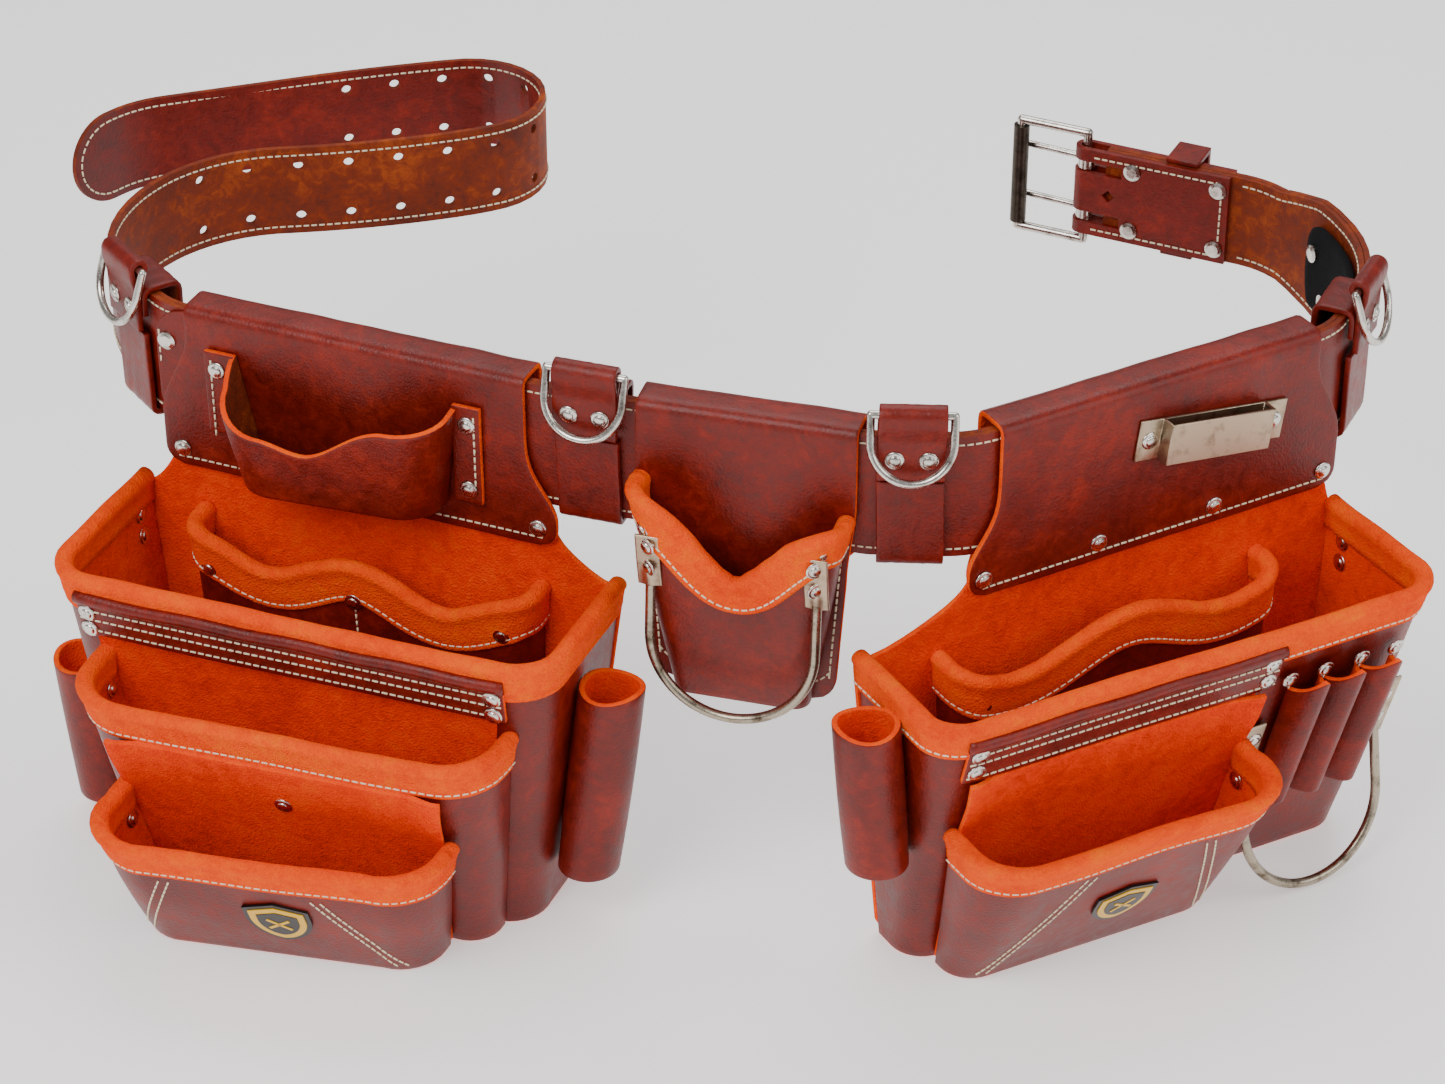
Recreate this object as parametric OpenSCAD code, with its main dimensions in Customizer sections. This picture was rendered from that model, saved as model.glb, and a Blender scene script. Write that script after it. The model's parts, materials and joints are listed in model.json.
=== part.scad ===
// Carpenter's tool belt: a two-ply leather belt on its edge, with two nail bags,
// a hammer holder and four D-ring loops threaded on it, and a two-prong roller buckle.
// Each accessory is drawn in its own frame: x runs along the belt to the right as seen
// from outside, -y points outwards, z is up. belt_frame() then sets it on the belt.

/* [Leather] */
// Thickness of the bag and strap leather
leather = 3; // [2.5:0.1:3.4]
// Thickness of the belt's outer ply
outer_ply = 3; // [2.5:0.1:3.5]
// Thickness of the belt's lining ply
lining_ply = 2.5; // [2:0.1:3]
// Thickness of the fleece back pad
pad_t = 8; // [6:0.5:9]
// Diameter of the padded roll along a pocket rim
roll_d = 9; // [7:0.5:10]

/* [Belt] */
// Height of the wide back part of the belt
belt_h = 66; // [60:1:70]
// Height of the tongue and of the buckle end
tongue_h = 51; // [46:1:52]
// Height of the fleece pad
pad_h = 48; // [40:1:50]
// Distance between the two rows of tongue holes
row_gap = 30; // [24:1:32]
// Distance from one tongue hole to the next
hole_pitch = 27; // [24:0.5:28]
// Number of tongue holes in a row
hole_count = 14; // [10:1:16]
// Diameter of a tongue hole
hole_d = 5.5; // [5:0.1:6.5]

/* [Bags] */
// Height of a bag from its base to the top of its belt tunnel
bag_h = 278; // [265:1:300]
// Width of a bag's flap where it goes over the belt
flap_w = 184; // [170:1:190]
// Height of the main pockets' walls
main_h = 168; // [150:1:172]
// Height of the middle pocket's wall
middle_h = 126; // [110:1:132]
// Height of the left front pocket's wall
left_front_h = 74; // [60:1:85]
// Height of the right front pocket's wall
right_front_h = 96; // [80:1:105]
// Length of a side tool tube
tube_h = 112; // [90:1:120]

/* [Hammer holder] */
// Width of the holder at the belt
holder_w = 108; // [100:1:112]
// Height of the holder from its lower tip to the top of its tunnel
holder_h = 156; // [145:1:165]
// Width of the hammer loops, between the centres of their legs
hammer_w = 82; // [74:1:84]
// Diameter of the hammer loop rod
rod_d = 5; // [4:0.5:6]

/* [D-rings] */
// Width of a D-ring strap
loop_w = 32; // [28:1:34]
// Diameter of the D-ring wire
wire_d = 4; // [3.5:0.5:4.5]
// Distance from a D-ring's bar to the bottom of its bow
ring_drop = 33; // [30:1:36]

/* [Buckle] */
// Diameter of the buckle frame rod
frame_d = 5; // [4.5:0.5:5.5]
// Distance from the heel bar to the roller bar
frame_l = 38; // [34:1:44]
// Diameter of a prong
prong_d = 3.6; // [3:0.2:4]
// Length of the folded billet
billet_l = 82; // [70:1:84]

/* [Hidden] */

cherry = "#8a1c0c";
suede = "#ff5a10";
flesh = "#8c3a14";
fleece = "#141414";
steel = "#c8c4c0";
bronze = "#8c8270";

// Plan of the belt: [length, turn] from the holder's middle to each end.
seat = 0.3;                      // gap at a soft seat
slack = 1.5;                     // clearance of the belt in a tunnel
half_holder = holder_w / 2 + 2;
bend = 4;
loop_run = loop_w + 4;
right_path = [[half_holder, 0], [bend, 10], [loop_run, 6], [22, 29], [flap_w, 0], [20, 30],
    [loop_run, 10], [62, 35], [66, 28], [18, 22], [billet_l + 6, 0]];
left_path = [[half_holder, 0], [bend, -2], [loop_run, -2], [14, -3], [flap_w, 0], [22, -30],
    [loop_run, -8], [108, -62], [74, -52], [96, 12], [22, 8], [126, 166], [56, 4], [110, 4], [30, 30], [30, 0]];
start = [16, -131.7, -15];

// Heights and depths worked out from the sizes above. n is the distance outwards.
belt_top = bag_h - leather - 0.8;
belt_low = belt_top - belt_h;
belt_mid = belt_top - belt_h / 2;
tongue_top = belt_mid + tongue_h / 2;
tongue_low = belt_mid - tongue_h / 2;
back_n = -(lining_ply + pad_t + slack);       // face of a tunnel behind the belt
front_n = outer_ply + slack;                   // face of a tunnel in front of the belt
panel_n = front_n;                             // front face of a bag's back panel
flap_low = belt_low - 16;
flap_hem = belt_low - 22;                      // the flap's hem, sewn to the panel below the belt
join_z = belt_low - 3;

function total(path, i = 0) = i == len(path) ? 0 : path[i][0] + total(path, i + 1);
function before(path, i) = i == 0 ? 0 : path[i - 1][0] + before(path, i - 1);
function step_pose(p, seg, d) = seg[1] == 0
    ? [p[0] + d * cos(p[2]), p[1] + d * sin(p[2]), p[2]]
    : let (r = seg[0] / (seg[1] * PI / 180), a = seg[1] * d / seg[0])
      [p[0] + r * (sin(p[2] + a) - sin(p[2])), p[1] - r * (cos(p[2] + a) - cos(p[2])), p[2] + a];
function pose_on(path, s, p, i = 0) = s <= path[i][0] || i == len(path) - 1
    ? step_pose(p, path[i], s)
    : pose_on(path, s - path[i][0], step_pose(p, path[i], path[i][0]), i + 1);
function belt_pose(s) = s >= 0 ? pose_on(right_path, s, start)
    : let (q = pose_on(left_path, -s, start + [0, 0, 180])) q - [0, 0, 180];
function path_marks(path) = [for (i = [0:len(path) - 1])
    let (n = max(1, ceil(abs(path[i][1]) / 7))) for (k = [1:n]) before(path, i) + path[i][0] * k / n];
right_end = total(right_path);
left_end = -total(left_path);
right_marks = path_marks(right_path);
left_marks = path_marks(left_path);
// Each hole sits in the middle of a flat of its own, a third of the pitch long.
hole_start = -before(left_path, 7) - 137;
hole_from = hole_start + hole_pitch / 2;
hole_to = hole_start - (hole_count - 0.5) * hole_pitch;
all_marks = concat([for (i = [len(left_marks) - 1:-1:0]) if (-left_marks[i] < hole_to - 2) -left_marks[i]],
    [for (k = [3 * hole_count:-1:0]) hole_from - k * hole_pitch / 3],
    [for (i = [len(left_marks) - 1:-1:0]) if (-left_marks[i] > hole_from + 2) -left_marks[i]], [0], right_marks);
function marks(a, b) = concat([a], [for (s = all_marks) if (s > a + 0.5 && s < b - 0.5) s], [b]);
function off(s, n) = let (p = belt_pose(s)) [p[0] + n * sin(p[2]), p[1] - n * cos(p[2])];
function band(a, b, n1, n2) = let (m = marks(a, b))
    concat([for (s = m) off(s, n1)], [for (i = [len(m) - 1:-1:0]) off(m[i], n2)]);

// Stations of the accessories along the belt.
s_holder = 0;
s_loop = [before(left_path, 6) * -1 - loop_run / 2, before(left_path, 2) * -1 - loop_run / 2,
    before(right_path, 2) + loop_run / 2, before(right_path, 6) + loop_run / 2];
s_left = before(left_path, 4) * -1 - flap_w / 2;
s_right = before(right_path, 4) + flap_w / 2;
s_wide_left = before(left_path, 7) * -1 - 4;
s_wide_right = before(right_path, 9) - 8;
taper = 30;
patch_over = 18;
pad_from = -before(left_path, 5) + 4;
pad_to = before(right_path, 9) - 34;

module belt_frame(s) {
    p = belt_pose(s);
    translate([p[0], p[1], 0]) rotate([0, 0, p[2]]) children();
}

// ---- Solids from sections ----

// Joins equal rings of points into one closed solid; the first and last rings are its ends.
module skin(rings) {
    m = len(rings[0]);
    k = len(rings);
    points = [for (r = rings) for (p = r) p];
    sides = [for (i = [0:k - 2]) for (j = [0:m - 1]) let (a = i * m + j, b = i * m + (j + 1) % m)
        each [[a, b, b + m], [a, b + m, a + m]]];
    ends = [[for (j = [m - 1:-1:0]) j], [for (j = [0:m - 1]) (k - 1) * m + j]];
    polyhedron(points, concat(sides, ends), convexity = 6);
}

function mix(a, b, k) = a + (b - a) * k;
// Open outline of a pocket, as [x, y]: from its left end at the back, round both front corners.
// A pocket is [left, right, back left, back right, front left, front right, corner radius].
function rim_line(q, t, back, n = 1) = let (l = q[0] + t, r = q[1] - t, c = max(q[6] - t, 1))
    concat([[l, -(q[2] - back)]],
        [for (a = [180:-18:90]) [l + c + c * cos(a), -(q[4] - t - c + c * sin(a))]],
        n < 2 ? [] : [for (k = [1:n - 1]) [mix(l + c, r - c, k / n), -(mix(q[4], q[5], k / n) - t)]],
        [for (a = [90:-18:0]) [r - c + c * cos(a), -(q[5] - t - c + c * sin(a))]],
        [[r, -(q[3] - back)]]);
function raised(line, z) = [for (i = [len(line) - 1:-1:0]) [line[i][0], line[i][1], z]];
// One-piece pocket: a wall round the front and sides and a floor, open at the back and top.
module tub(low, high, z0, h, t = leather, base = leather) {
    difference() {
        skin([raised(rim_line(low, 0, 0), z0), raised(rim_line(high, 0, 0), z0 + h)]);
        skin([raised(rim_line(mix(low, high, base / h), t, 9), z0 + base),
            raised(rim_line(mix(low, high, (h + 1) / h), t, 9), z0 + h + 1)]);
    }
}
// Round bar swept along points, ends square to the path.
module bar_along(points, d, sides = 8) {
    last = len(points) - 1;
    skin([for (i = [0:last])
        let (a = points[max(i - 1, 0)], b = points[min(i + 1, last)], t = (b - a) / norm(b - a),
            s = cross(t, [0, 0, 1]) / norm(cross(t, [0, 0, 1])), v = cross(s, t))
        [for (j = [0:sides - 1]) points[i] + d / 2 * (cos(360 * j / sides) * s + sin(360 * j / sides) * v)]]);
}
// Roll that sits on the top edge of a pocket's wall; dip(x) lowers it along a curved edge.
module rim_roll(low, high, h, dip = function (x) 0, n = 1) {
    a = rim_line(low, leather / 2, -roll_d / 2, n);
    b = rim_line(high, leather / 2, -roll_d / 2, n);
    bar_along([for (i = [0:len(b) - 1]) let (z = h - dip(b[i][0]), p = mix(a[i], b[i], z / h))
        [p[0], p[1], z + seat + roll_d / 2 + (n > 1 ? 0.5 : 0)]], roll_d);
}
// What is cut from a pocket's wall above a curved edge.
module above(x0, x1, h, dip, depth = 80) {
    n = 20;
    upright(0, depth) polygon(concat([for (i = [0:n]) let (x = mix(x0, x1, i / n)) [x, h - dip(x)]],
        [[x1, h + 60], [x0, h + 60]]));
}
// Depth of a pocket's front face at x.
function face_n(q, x) = mix(q[4], q[5], (x - q[0] - q[6]) / (q[1] - q[0] - 2 * q[6]));
// Plate that lies on a pocket's leaning front, from x0 to x1 and z0 to z1.
module front_plate(low, high, h, x0, x1, z0, z1, t = leather, gap = 0.5) {
    f = function (x, z) face_n(mix(low, high, z / h), x) + gap;
    skin([for (x = [x0, x1]) [[x, -f(x, z0), z0], [x, -f(x, z0) - t, z0],
        [x, -f(x, z1) - t, z1], [x, -f(x, z1), z1]]]);
}
// Extrudes a shape drawn in [x, z] from depth n1 to depth n2.
module upright(n1, n2) {
    translate([0, -n1, 0]) rotate([90, 0, 0]) linear_extrude(n2 - n1) children();
}
// Extrudes a profile drawn in [n, z] along x, centred.
module along_belt(w) {
    translate([-w / 2, 0, 0]) rotate([90, 0, 90]) linear_extrude(w) mirror([1, 0]) children();
}
// Rivet head at x, z, seated on the face at depth n; lean tips it with a leaning wall.
head_d = 9.5;
module rivet(x, n, z, yaw = 0, lean = 0) {
    translate([x, -n - 0.1, z]) rotate([0, 0, yaw]) rotate([90 + lean, 0, 0]) {
        cylinder(h = 0.9, d = head_d, $fn = 20);
        translate([0, 0, 0.9]) cylinder(h = 0.7, d1 = head_d, d2 = head_d * 0.6, $fn = 20);
    }
}

// ---- Belt ----

// Band of the belt between two stations, narrowed to the tongue's height past the wide part.
module ply(a, b, n1, n2) {
    difference() {
        union() {
            translate([0, 0, tongue_low]) linear_extrude(tongue_h) polygon(band(a, b, n1, n2));
            translate([0, 0, belt_low]) linear_extrude(belt_h)
                polygon(band(max(a, s_wide_left), min(b, s_wide_right), n1, n2));
        }
        for (e = [0, 1], m = [0, 1]) belt_frame(e == 0 ? s_wide_left : s_wide_right)
            translate([0, 0, belt_mid]) mirror([e, 0, 0]) mirror([0, 0, m]) upright(-20, 20)
                polygon([[-1, tongue_h / 2], [taper, belt_h / 2], [taper, belt_h], [-1, belt_h]]);
    }
}
module belt_outer_strap() {
    color(cherry) difference() {
        ply(left_end, right_end - 12, 0, outer_ply);
        belt_frame(left_end + tongue_h / 2) upright(-10, 20) translate([0, belt_mid]) difference() {
            translate([-tongue_h, -tongue_h]) square([tongue_h - 0.5, 2 * tongue_h]);
            circle(d = tongue_h, $fn = 48);
        }
        for (i = [0:hole_count - 1], side = [-1, 1]) belt_frame(hole_start - i * hole_pitch)
            translate([0, 10, belt_mid + side * row_gap / 2]) rotate([90, 0, 0])
                cylinder(h = 20, d = hole_d, $fn = 16);
    }
}
module belt_lining() {
    color(flesh) ply(s_wide_left + taper, right_end - 12, -lining_ply - seat, -seat);
}
module back_pad() {
    r = 16;
    color(fleece) difference() {
        translate([0, 0, belt_mid - pad_h / 2]) linear_extrude(pad_h)
            polygon(band(pad_from, pad_to, -lining_ply - pad_t, -lining_ply - 2 * seat));
        for (e = [0, 1], m = [0, 1]) belt_frame(e == 0 ? pad_from : pad_to)
            translate([0, 0, belt_mid]) mirror([e, 0, 0]) mirror([0, 0, m]) upright(-24, 10)
                translate([r, pad_h / 2 - r]) difference() {
                    translate([-r - 1, 0]) square([r + 1, r + 1]);
                    circle(r, $fn = 40);
                }
    }
}
module belt_end_patch() {
    r = 16;
    n = outer_ply + seat / 2;
    color(cherry) belt_frame(s_left - flap_w / 2) upright(n, n + 1.2) {
        translate([r - patch_over, belt_low + 1]) square([42, belt_h - 2]);
        translate([-patch_over, belt_low + 1 + r]) square([r, belt_h - 2 - 2 * r]);
        for (z = [belt_low + 1 + r, belt_top - 1 - r]) translate([r - patch_over, z]) circle(r, $fn = 48);
    }
}
heel_n = (outer_ply - lining_ply - seat) / 2;
fold_in = (outer_ply + lining_ply + seat) / 2 + seat;
module buckle_billet() {
    color(cherry) belt_frame(right_end) translate([0, -heel_n, belt_mid]) difference() {
        union() {
            for (side = [0, 1]) mirror([0, side, 0]) upright(fold_in, fold_in + leather)
                translate([-billet_l, -tongue_h / 2]) square([billet_l, tongue_h]);
            cylinder(h = tongue_h, r = fold_in + leather, center = true, $fn = 40);
        }
        cylinder(h = tongue_h + 2, r = fold_in, center = true, $fn = 40);
        translate([-billet_l - 1, -fold_in, -tongue_h]) cube([billet_l + 1, 2 * fold_in, 2 * tongue_h]);
        for (side = [-1, 1]) translate([-22, -20, side * row_gap / 2 - 3.2]) cube([40, 40, 6.4]);
        translate([-15, 0, 0]) rotate([90, 0, 0]) cylinder(h = 40, d = 7, center = true, $fn = 4);
    }
}
module belt_keeper() {
    gap = 9;
    color(cherry) belt_frame(right_end - billet_l * 0.66) translate([0, -heel_n, belt_mid]) difference() {
        translate([-9, -fold_in - leather - gap - leather, -tongue_h / 2 - leather - 0.5])
            cube([18, 2 * fold_in + 2 * leather + gap, tongue_h + 2 * leather + 1]);
        translate([-10, -fold_in - leather - gap, -tongue_h / 2 - 0.5])
            cube([20, 2 * fold_in + 2 * leather + gap + 0.4, tongue_h + 1]);
    }
}
module belt_rivets() {
    color(steel) {
        for (x = [-28, 6 - billet_l], side = [-1, 1]) belt_frame(right_end) translate([0, -heel_n, belt_mid])
            for (m = [0, 1]) mirror([0, m, 0]) rivet(x, fold_in + leather, side * (tongue_h / 2 - 8));
        belt_frame(s_left - flap_w / 2) rivet(-12, outer_ply + seat / 2 + 1.2, belt_mid + 14);
        for (p = [[14, 10], [30, -12]]) belt_frame(pad_to - p[0]) rotate([0, 0, 180])
            rivet(0, lining_ply + pad_t + 0.4, belt_mid + p[1]);
    }
}
// Rectangular buckle frame, its heel bar in the billet's fold and its roller bar beyond.
side_z = tongue_h / 2 + 4 + frame_d / 2;
module at_buckle() belt_frame(right_end) translate([0, -heel_n, belt_mid]) children();
module buckle_frame() {
    color(steel) at_buckle() {
        for (x = [0, frame_l]) translate([x, 0, 0]) cylinder(h = 2 * side_z, d = frame_d, center = true, $fn = 28);
        for (side = [-1, 1]) translate([0, 0, side * side_z]) {
            rotate([0, 90, 0]) cylinder(h = frame_l, d = frame_d, $fn = 28);
            for (x = [0, frame_l]) translate([x, 0, 0]) sphere(d = frame_d, $fn = 28);
        }
    }
}
roller_d = frame_d + 3.6;
module buckle_roller() {
    color("#3c3630") at_buckle() translate([frame_l, 0, 0]) difference() {
        cylinder(h = 2 * side_z - frame_d - 1.2, d = roller_d, center = true, $fn = 32);
        cylinder(h = 2 * side_z, d = frame_d + 0.6, center = true, $fn = 32);
    }
}
module prong(side) {
    tip_n = roller_d / 2 + prong_d / 2 + 0.4;
    eye_n = frame_d / 2 + 0.4 + prong_d / 2;
    a = atan2(tip_n - eye_n, frame_l);
    color(steel) at_buckle() translate([0, 0, side * row_gap / 2]) difference() {
        union() {
            cylinder(h = 5, d = frame_d + 4.4, center = true, $fn = 32);
            translate([0, -eye_n, 0]) rotate([0, 0, -a]) rotate([0, 90, 0]) {
                cylinder(h = frame_l + 5, d = prong_d, $fn = 24);
                translate([0, 0, frame_l + 5]) sphere(d = prong_d, $fn = 24);
            }
        }
        cylinder(h = 6, d = frame_d + 0.6, center = true, $fn = 32);
    }
}
module upper_prong() { prong(1); }
module lower_prong() { prong(-1); }

// ---- D-ring straps ----

ring_n = front_n + leather;
ring_z = bag_h + 11;
ring_tilt = 18;
module ring_strap(s) {
    low = belt_low - 0.7;
    top = belt_top + 0.7;
    color(cherry) belt_frame(s) along_belt(loop_w) difference() {
        union() {
            translate([back_n - leather, low - leather]) square([ring_n - back_n + leather, top - low + 2 * leather]);
            translate([front_n, top - 20]) square([2 * leather, ring_z - top + 20]);
            translate([ring_n, ring_z]) circle(d = wire_d + 0.8 + 2 * leather, $fn = 36);
        }
        translate([back_n, low]) square([front_n - back_n, top - low]);
        translate([ring_n, ring_z]) circle(d = wire_d + 0.8, $fn = 36);
    }
}
module ring_rivets(s) {
    color(steel) belt_frame(s) for (side = [-1, 1])
        rivet(side * loop_w * 0.25, front_n + 2 * leather, belt_top - 8);
}
module d_ring(s) {
    half = loop_w / 2 + 3.6;
    color(steel) belt_frame(s) translate([0, -ring_n, ring_z]) rotate([-ring_tilt, 0, 0]) {
        rotate([0, 90, 0]) cylinder(h = 2 * half, d = wire_d, center = true, $fn = 24);
        for (side = [-1, 1]) translate([side * half, 0, 0]) {
            sphere(d = wire_d, $fn = 24);
            mirror([0, 0, 1]) cylinder(h = ring_drop - half, d = wire_d, $fn = 24);
        }
        translate([0, 0, half - ring_drop]) rotate([90, 0, 0]) rotate([0, 0, 180])
            rotate_extrude(angle = 180, $fn = 60) translate([half, 0]) circle(d = wire_d, $fn = 24);
    }
}

// ---- Hammer holder ----

module tunnel(w, front_low, lead = 14) {
    top = bag_h;
    z1 = join_z - lead;
    along_belt(w) {
        polygon([[back_n - leather, join_z - 3], [back_n, join_z], [back_n, top - leather],
            [front_n, top - leather], [front_n, front_low], [front_n + leather, front_low],
            [front_n + leather, top - 3], [front_n + leather - 3, top], [back_n - leather + 3, top],
            [back_n - leather, top - 3]]);
        polygon([[panel_n - leather, z1 - 3], [panel_n, z1 - 3], [panel_n, z1], [back_n, join_z],
            [back_n - leather, join_z - 3], [panel_n - leather, z1 - 3]]);
    }
}
holder_low = bag_h - holder_h;
holder_lo = [-34, 34, front_n + leather + seat, front_n + leather + seat, 18, 18, 8];
holder_hi = [-holder_w / 2 + 2, holder_w / 2 - 2, front_n + leather + seat, front_n + leather + seat, 34, 34, 12];
v_dip = function (x) 40 * (0.5 + 0.5 * cos(180 * x / 48)) + (x > 0 ? 8 * x / 50 : 0);
v_h = holder_h - 46;
module holder_panel() {
    color(cherry) belt_frame(s_holder) {
        tunnel(holder_w, join_z - 10);
        upright(front_n, front_n + leather) polygon([[-36, holder_low], [36, holder_low], [46, holder_low + 12],
            [50, holder_low + 70], [holder_w / 2, bag_h - 40], [-holder_w / 2, bag_h - 40], [-50, holder_low + 70],
            [-46, holder_low + 12]]);
        upright(panel_n - leather, panel_n) translate([-40, join_z - 60]) square([80, 45]);
    }
}
module holder_pocket() {
    color(cherry) belt_frame(s_holder) translate([0, 0, holder_low]) difference() {
        tub(holder_lo, holder_hi, 4, v_h - 4);
        above(-70, 70, v_h, v_dip);
    }
}
module holder_rim() {
    color(suede) belt_frame(s_holder) translate([0, 0, holder_low])
        rim_roll(holder_lo, holder_hi, v_h, v_dip, 14);
}
// Bent rod hammer loop on two riveted leather tabs; legs at x0 +- half, its top at z.
module hammer_loop(x0, n0, n1, z) {
    half = hammer_w / 2;
    leg = 30;
    arc = [for (a = [180:12:360]) [x0 + half * cos(a), -mix(n0, n1, (leg - half * sin(a)) / (leg + half)),
        z - leg + half * sin(a)]];
    color(bronze) bar_along(concat([[x0 - half, -n0, z]], arc, [[x0 + half, -n0, z]]), rod_d, 10);
}
// Steel tabs that hold the hammer loop's legs on a pocket's leaning front.
module loop_tabs(low, high, h, x0, z, tall = 40) {
    for (side = [-1, 1]) front_plate(low, high, h, x0 + side * hammer_w / 2 - 6, x0 + side * hammer_w / 2 + 6,
        z - 4, z + tall, 3.4, 0.5);
}
module holder_hammer_loop() {
    z = 72;
    n = face_n(mix(holder_lo, holder_hi, z / v_h), 0) + 2.2;
    color(bronze) belt_frame(s_holder) translate([0, 0, holder_low]) {
        hammer_loop(0, n, n + 6, z);
        loop_tabs(holder_lo, holder_hi, v_h, 0, z, 27);
    }
}
module holder_rivets() {
    color(steel) belt_frame(s_holder) {
        for (side = [-1, 1]) {
            rivet(side * (holder_w / 2 - 7), ring_n, holder_low + v_h + 14);
            for (z = [78, 92]) rivet(side * hammer_w / 2, face_n(mix(holder_lo, holder_hi, z / v_h), 40) + 3.9,
                holder_low + z, 0, atan((holder_hi[4] - holder_lo[4]) / v_h));
        }
    }
}

// ---- Bags ----

// Back panel, belt tunnel and flap: one piece of leather folded over the belt and stitched to itself.
flap_flare = 16;
function ease(k) = (1 - cos(180 * k)) / 2;
module bag_panel(lo, hi, inner) {
    side = [for (k = [0:0.125:1]) [flap_w / 2 + flap_flare * pow(ease(k), 3), mix(bag_h - 18, flap_low + 8, k)]];
    out = flap_w / 2 + flap_flare;
    color(suede) {
        tunnel(flap_w, bag_h - 30);
        upright(panel_n - leather, panel_n) polygon([[lo[0] + 8, 0], [lo[1] - 8, 0], [lo[1], 8],
            [hi[1] + 1, main_h], [flap_w / 2 + 12, join_z - 14], [-flap_w / 2 - 12, join_z - 14],
            [hi[0] - 1, main_h], [lo[0], 8]]);
        mirror([inner, 0, 0]) upright(front_n, front_n + leather) polygon(concat(
            [[-flap_w / 2, bag_h - 18]], side, [[out, flap_hem + 8], [out - 2.5, flap_hem + 2.5],
            [out - 8, flap_hem], [8 - out, flap_hem], [2.5 - out, flap_hem + 2.5],
            [-out, flap_hem + 8], [-out, bag_h - 58]]));
    }
}
// Side tool tube, a round sleeve open at both ends, between a low and a high point.
module tube(a, b, d = 32) {
    v = b - a;
    color(suede) translate(a) rotate([0, acos(v[2] / norm(v)), atan2(v[1], v[0])]) difference() {
        cylinder(h = norm(v), d = d, $fn = 48);
        translate([0, 0, -1]) cylinder(h = norm(v) + 2, d = d - 2 * leather, $fn = 48);
    }
}
// Badge: a plain shield plate on a pocket's front.
module badge(low, high, h, x, z) {
    lean = atan((high[4] - low[4]) / h);
    yaw = atan((face_n(mix(low, high, z / h), x + 10) - face_n(mix(low, high, z / h), x - 10)) / 20);
    translate([x, -face_n(mix(low, high, z / h), x) - 0.6, z]) rotate([0, 0, -yaw]) rotate([90 + lean, 0, 0])
        linear_extrude(1) polygon(concat([for (a = [180:15:360]) [17 * cos(a), 20 * sin(a) * (1 - 0.1 * abs(cos(a))) + 4]],
            [[17, 12], [0, 17], [-17, 12]]));
}
q_back = panel_n + seat;
// Sets a pocket's back ends against the front of the pocket behind it.
function behind(q, p) = [q[0], q[1], face_n(p, q[0]) + seat, face_n(p, q[1]) + seat, q[4], q[5], q[6]];

// Left bag, from its back panel outwards.
lm_lo = [-110, 118, q_back, q_back, 80, 71, 14];
lm_hi = [-124, 140, q_back, q_back, 104, 95, 16];
function lm(z) = mix(lm_lo, lm_hi, z / main_h);
li_lo = [-86, 96, q_back, q_back, 18, 18, 8];
li_hi = [-90, 100, q_back, q_back, 30, 28, 10];
li_h = 126;
li_z = 30;
li_dip = function (x) 8 - 8 * cos(360 * (x - 5) / 95);
lc_lo = behind([-86, 104, 0, 0, 104, 92, 16], lm(0));
lc_hi = behind([-96, 120, 0, 0, 142, 129, 20], lm(middle_h));
function lc(z) = mix(lc_lo, lc_hi, z / middle_h);
lf_back_t = leather + 1;
lf_lo = behind([-66, 86, 0, 0, 146, 126, 16], lc(0) + [0, 0, 0, 0, lf_back_t, lf_back_t, 0]);
lf_hi = behind([-72, 100, 0, 0, 178, 157, 20], lc(left_front_h) + [0, 0, 0, 0, lf_back_t, lf_back_t, 0]);
function lf(z) = mix(lf_lo, lf_hi, z / left_front_h);
module left() belt_frame(s_left) children();

module left_panel() { left() bag_panel(lm_lo, lm_hi, 0); }
module left_tape_pouch() {
    n = ring_n + seat;
    lo = [-54, 50, n, n, 40, 34, 14];
    hi = [-66, 58, n, n, 47, 43, 16];
    h = 44;
    color(cherry) left() translate([0, 0, flap_low + 8]) {
        tub(lo, hi, 0, h);
        for (x = [-80, 54]) upright(n, n + leather) translate([x, 8]) square([14, 50]);
    }
}
module left_inner_pocket() {
    color(suede) left() translate([0, 0, li_z]) difference() {
        tub(li_lo, li_hi, 0, li_h + 8);
        above(-120, 120, li_h, li_dip);
    }
}
module left_inner_rim() {
    color(suede) left() translate([0, 0, li_z]) rim_roll(li_lo, mix(li_lo, li_hi, li_h / (li_h + 8)), li_h, li_dip, 20);
}
module left_main_pocket() { color(suede) left() tub(lm_lo, lm_hi, 0, main_h); }
module left_main_rim() { color(suede) left() rim_roll(lm_lo, lm_hi, main_h); }
module left_strip() {
    color(cherry) left() {
        front_plate(lm_lo, lm_hi, main_h, lm_hi[0] + 18, lm_hi[1] - 20, main_h - 32, main_h - 5);
        bar_along([for (x = [lm_hi[0] + 18, lm_hi[1] - 20]) [x, -face_n(lm(main_h - 4), x) - 4.6, main_h - 4]], 8);
    }
}
module left_middle_pocket() { color(suede) left() tub(lc_lo, lc_hi, 0, middle_h); }
module left_middle_rim() { color(suede) left() rim_roll(lc_lo, lc_hi, middle_h); }
module left_front_back() {
    color(suede) left() front_plate(lc_lo, lc_hi, middle_h, lf_lo[0] - 4, lf_hi[1] - 4, 2, left_front_h + 26);
}
module left_front_pocket() { color(suede) left() tub(lf_lo, lf_hi, 0, left_front_h); }
module left_front_rim() { color(suede) left() rim_roll(lf_lo, lf_hi, left_front_h); }
module left_outer_tube() {
    n = 60;
    z = 12;
    left() tube([lm(z)[0] - 17, -n, z], [lm(z + tube_h * 0.72)[0] - 17, -n, z + tube_h * 0.72]);
}
module left_inner_tube() {
    n = 46;
    z = 30;
    left() tube([lm(z)[1] + 17, -n, z], [lm(z + tube_h)[1] + 17, -n, z + tube_h]);
}
module left_badge() { color("#e8b820") left() badge(lf_lo, lf_hi, left_front_h, 22, 34); }
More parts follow.
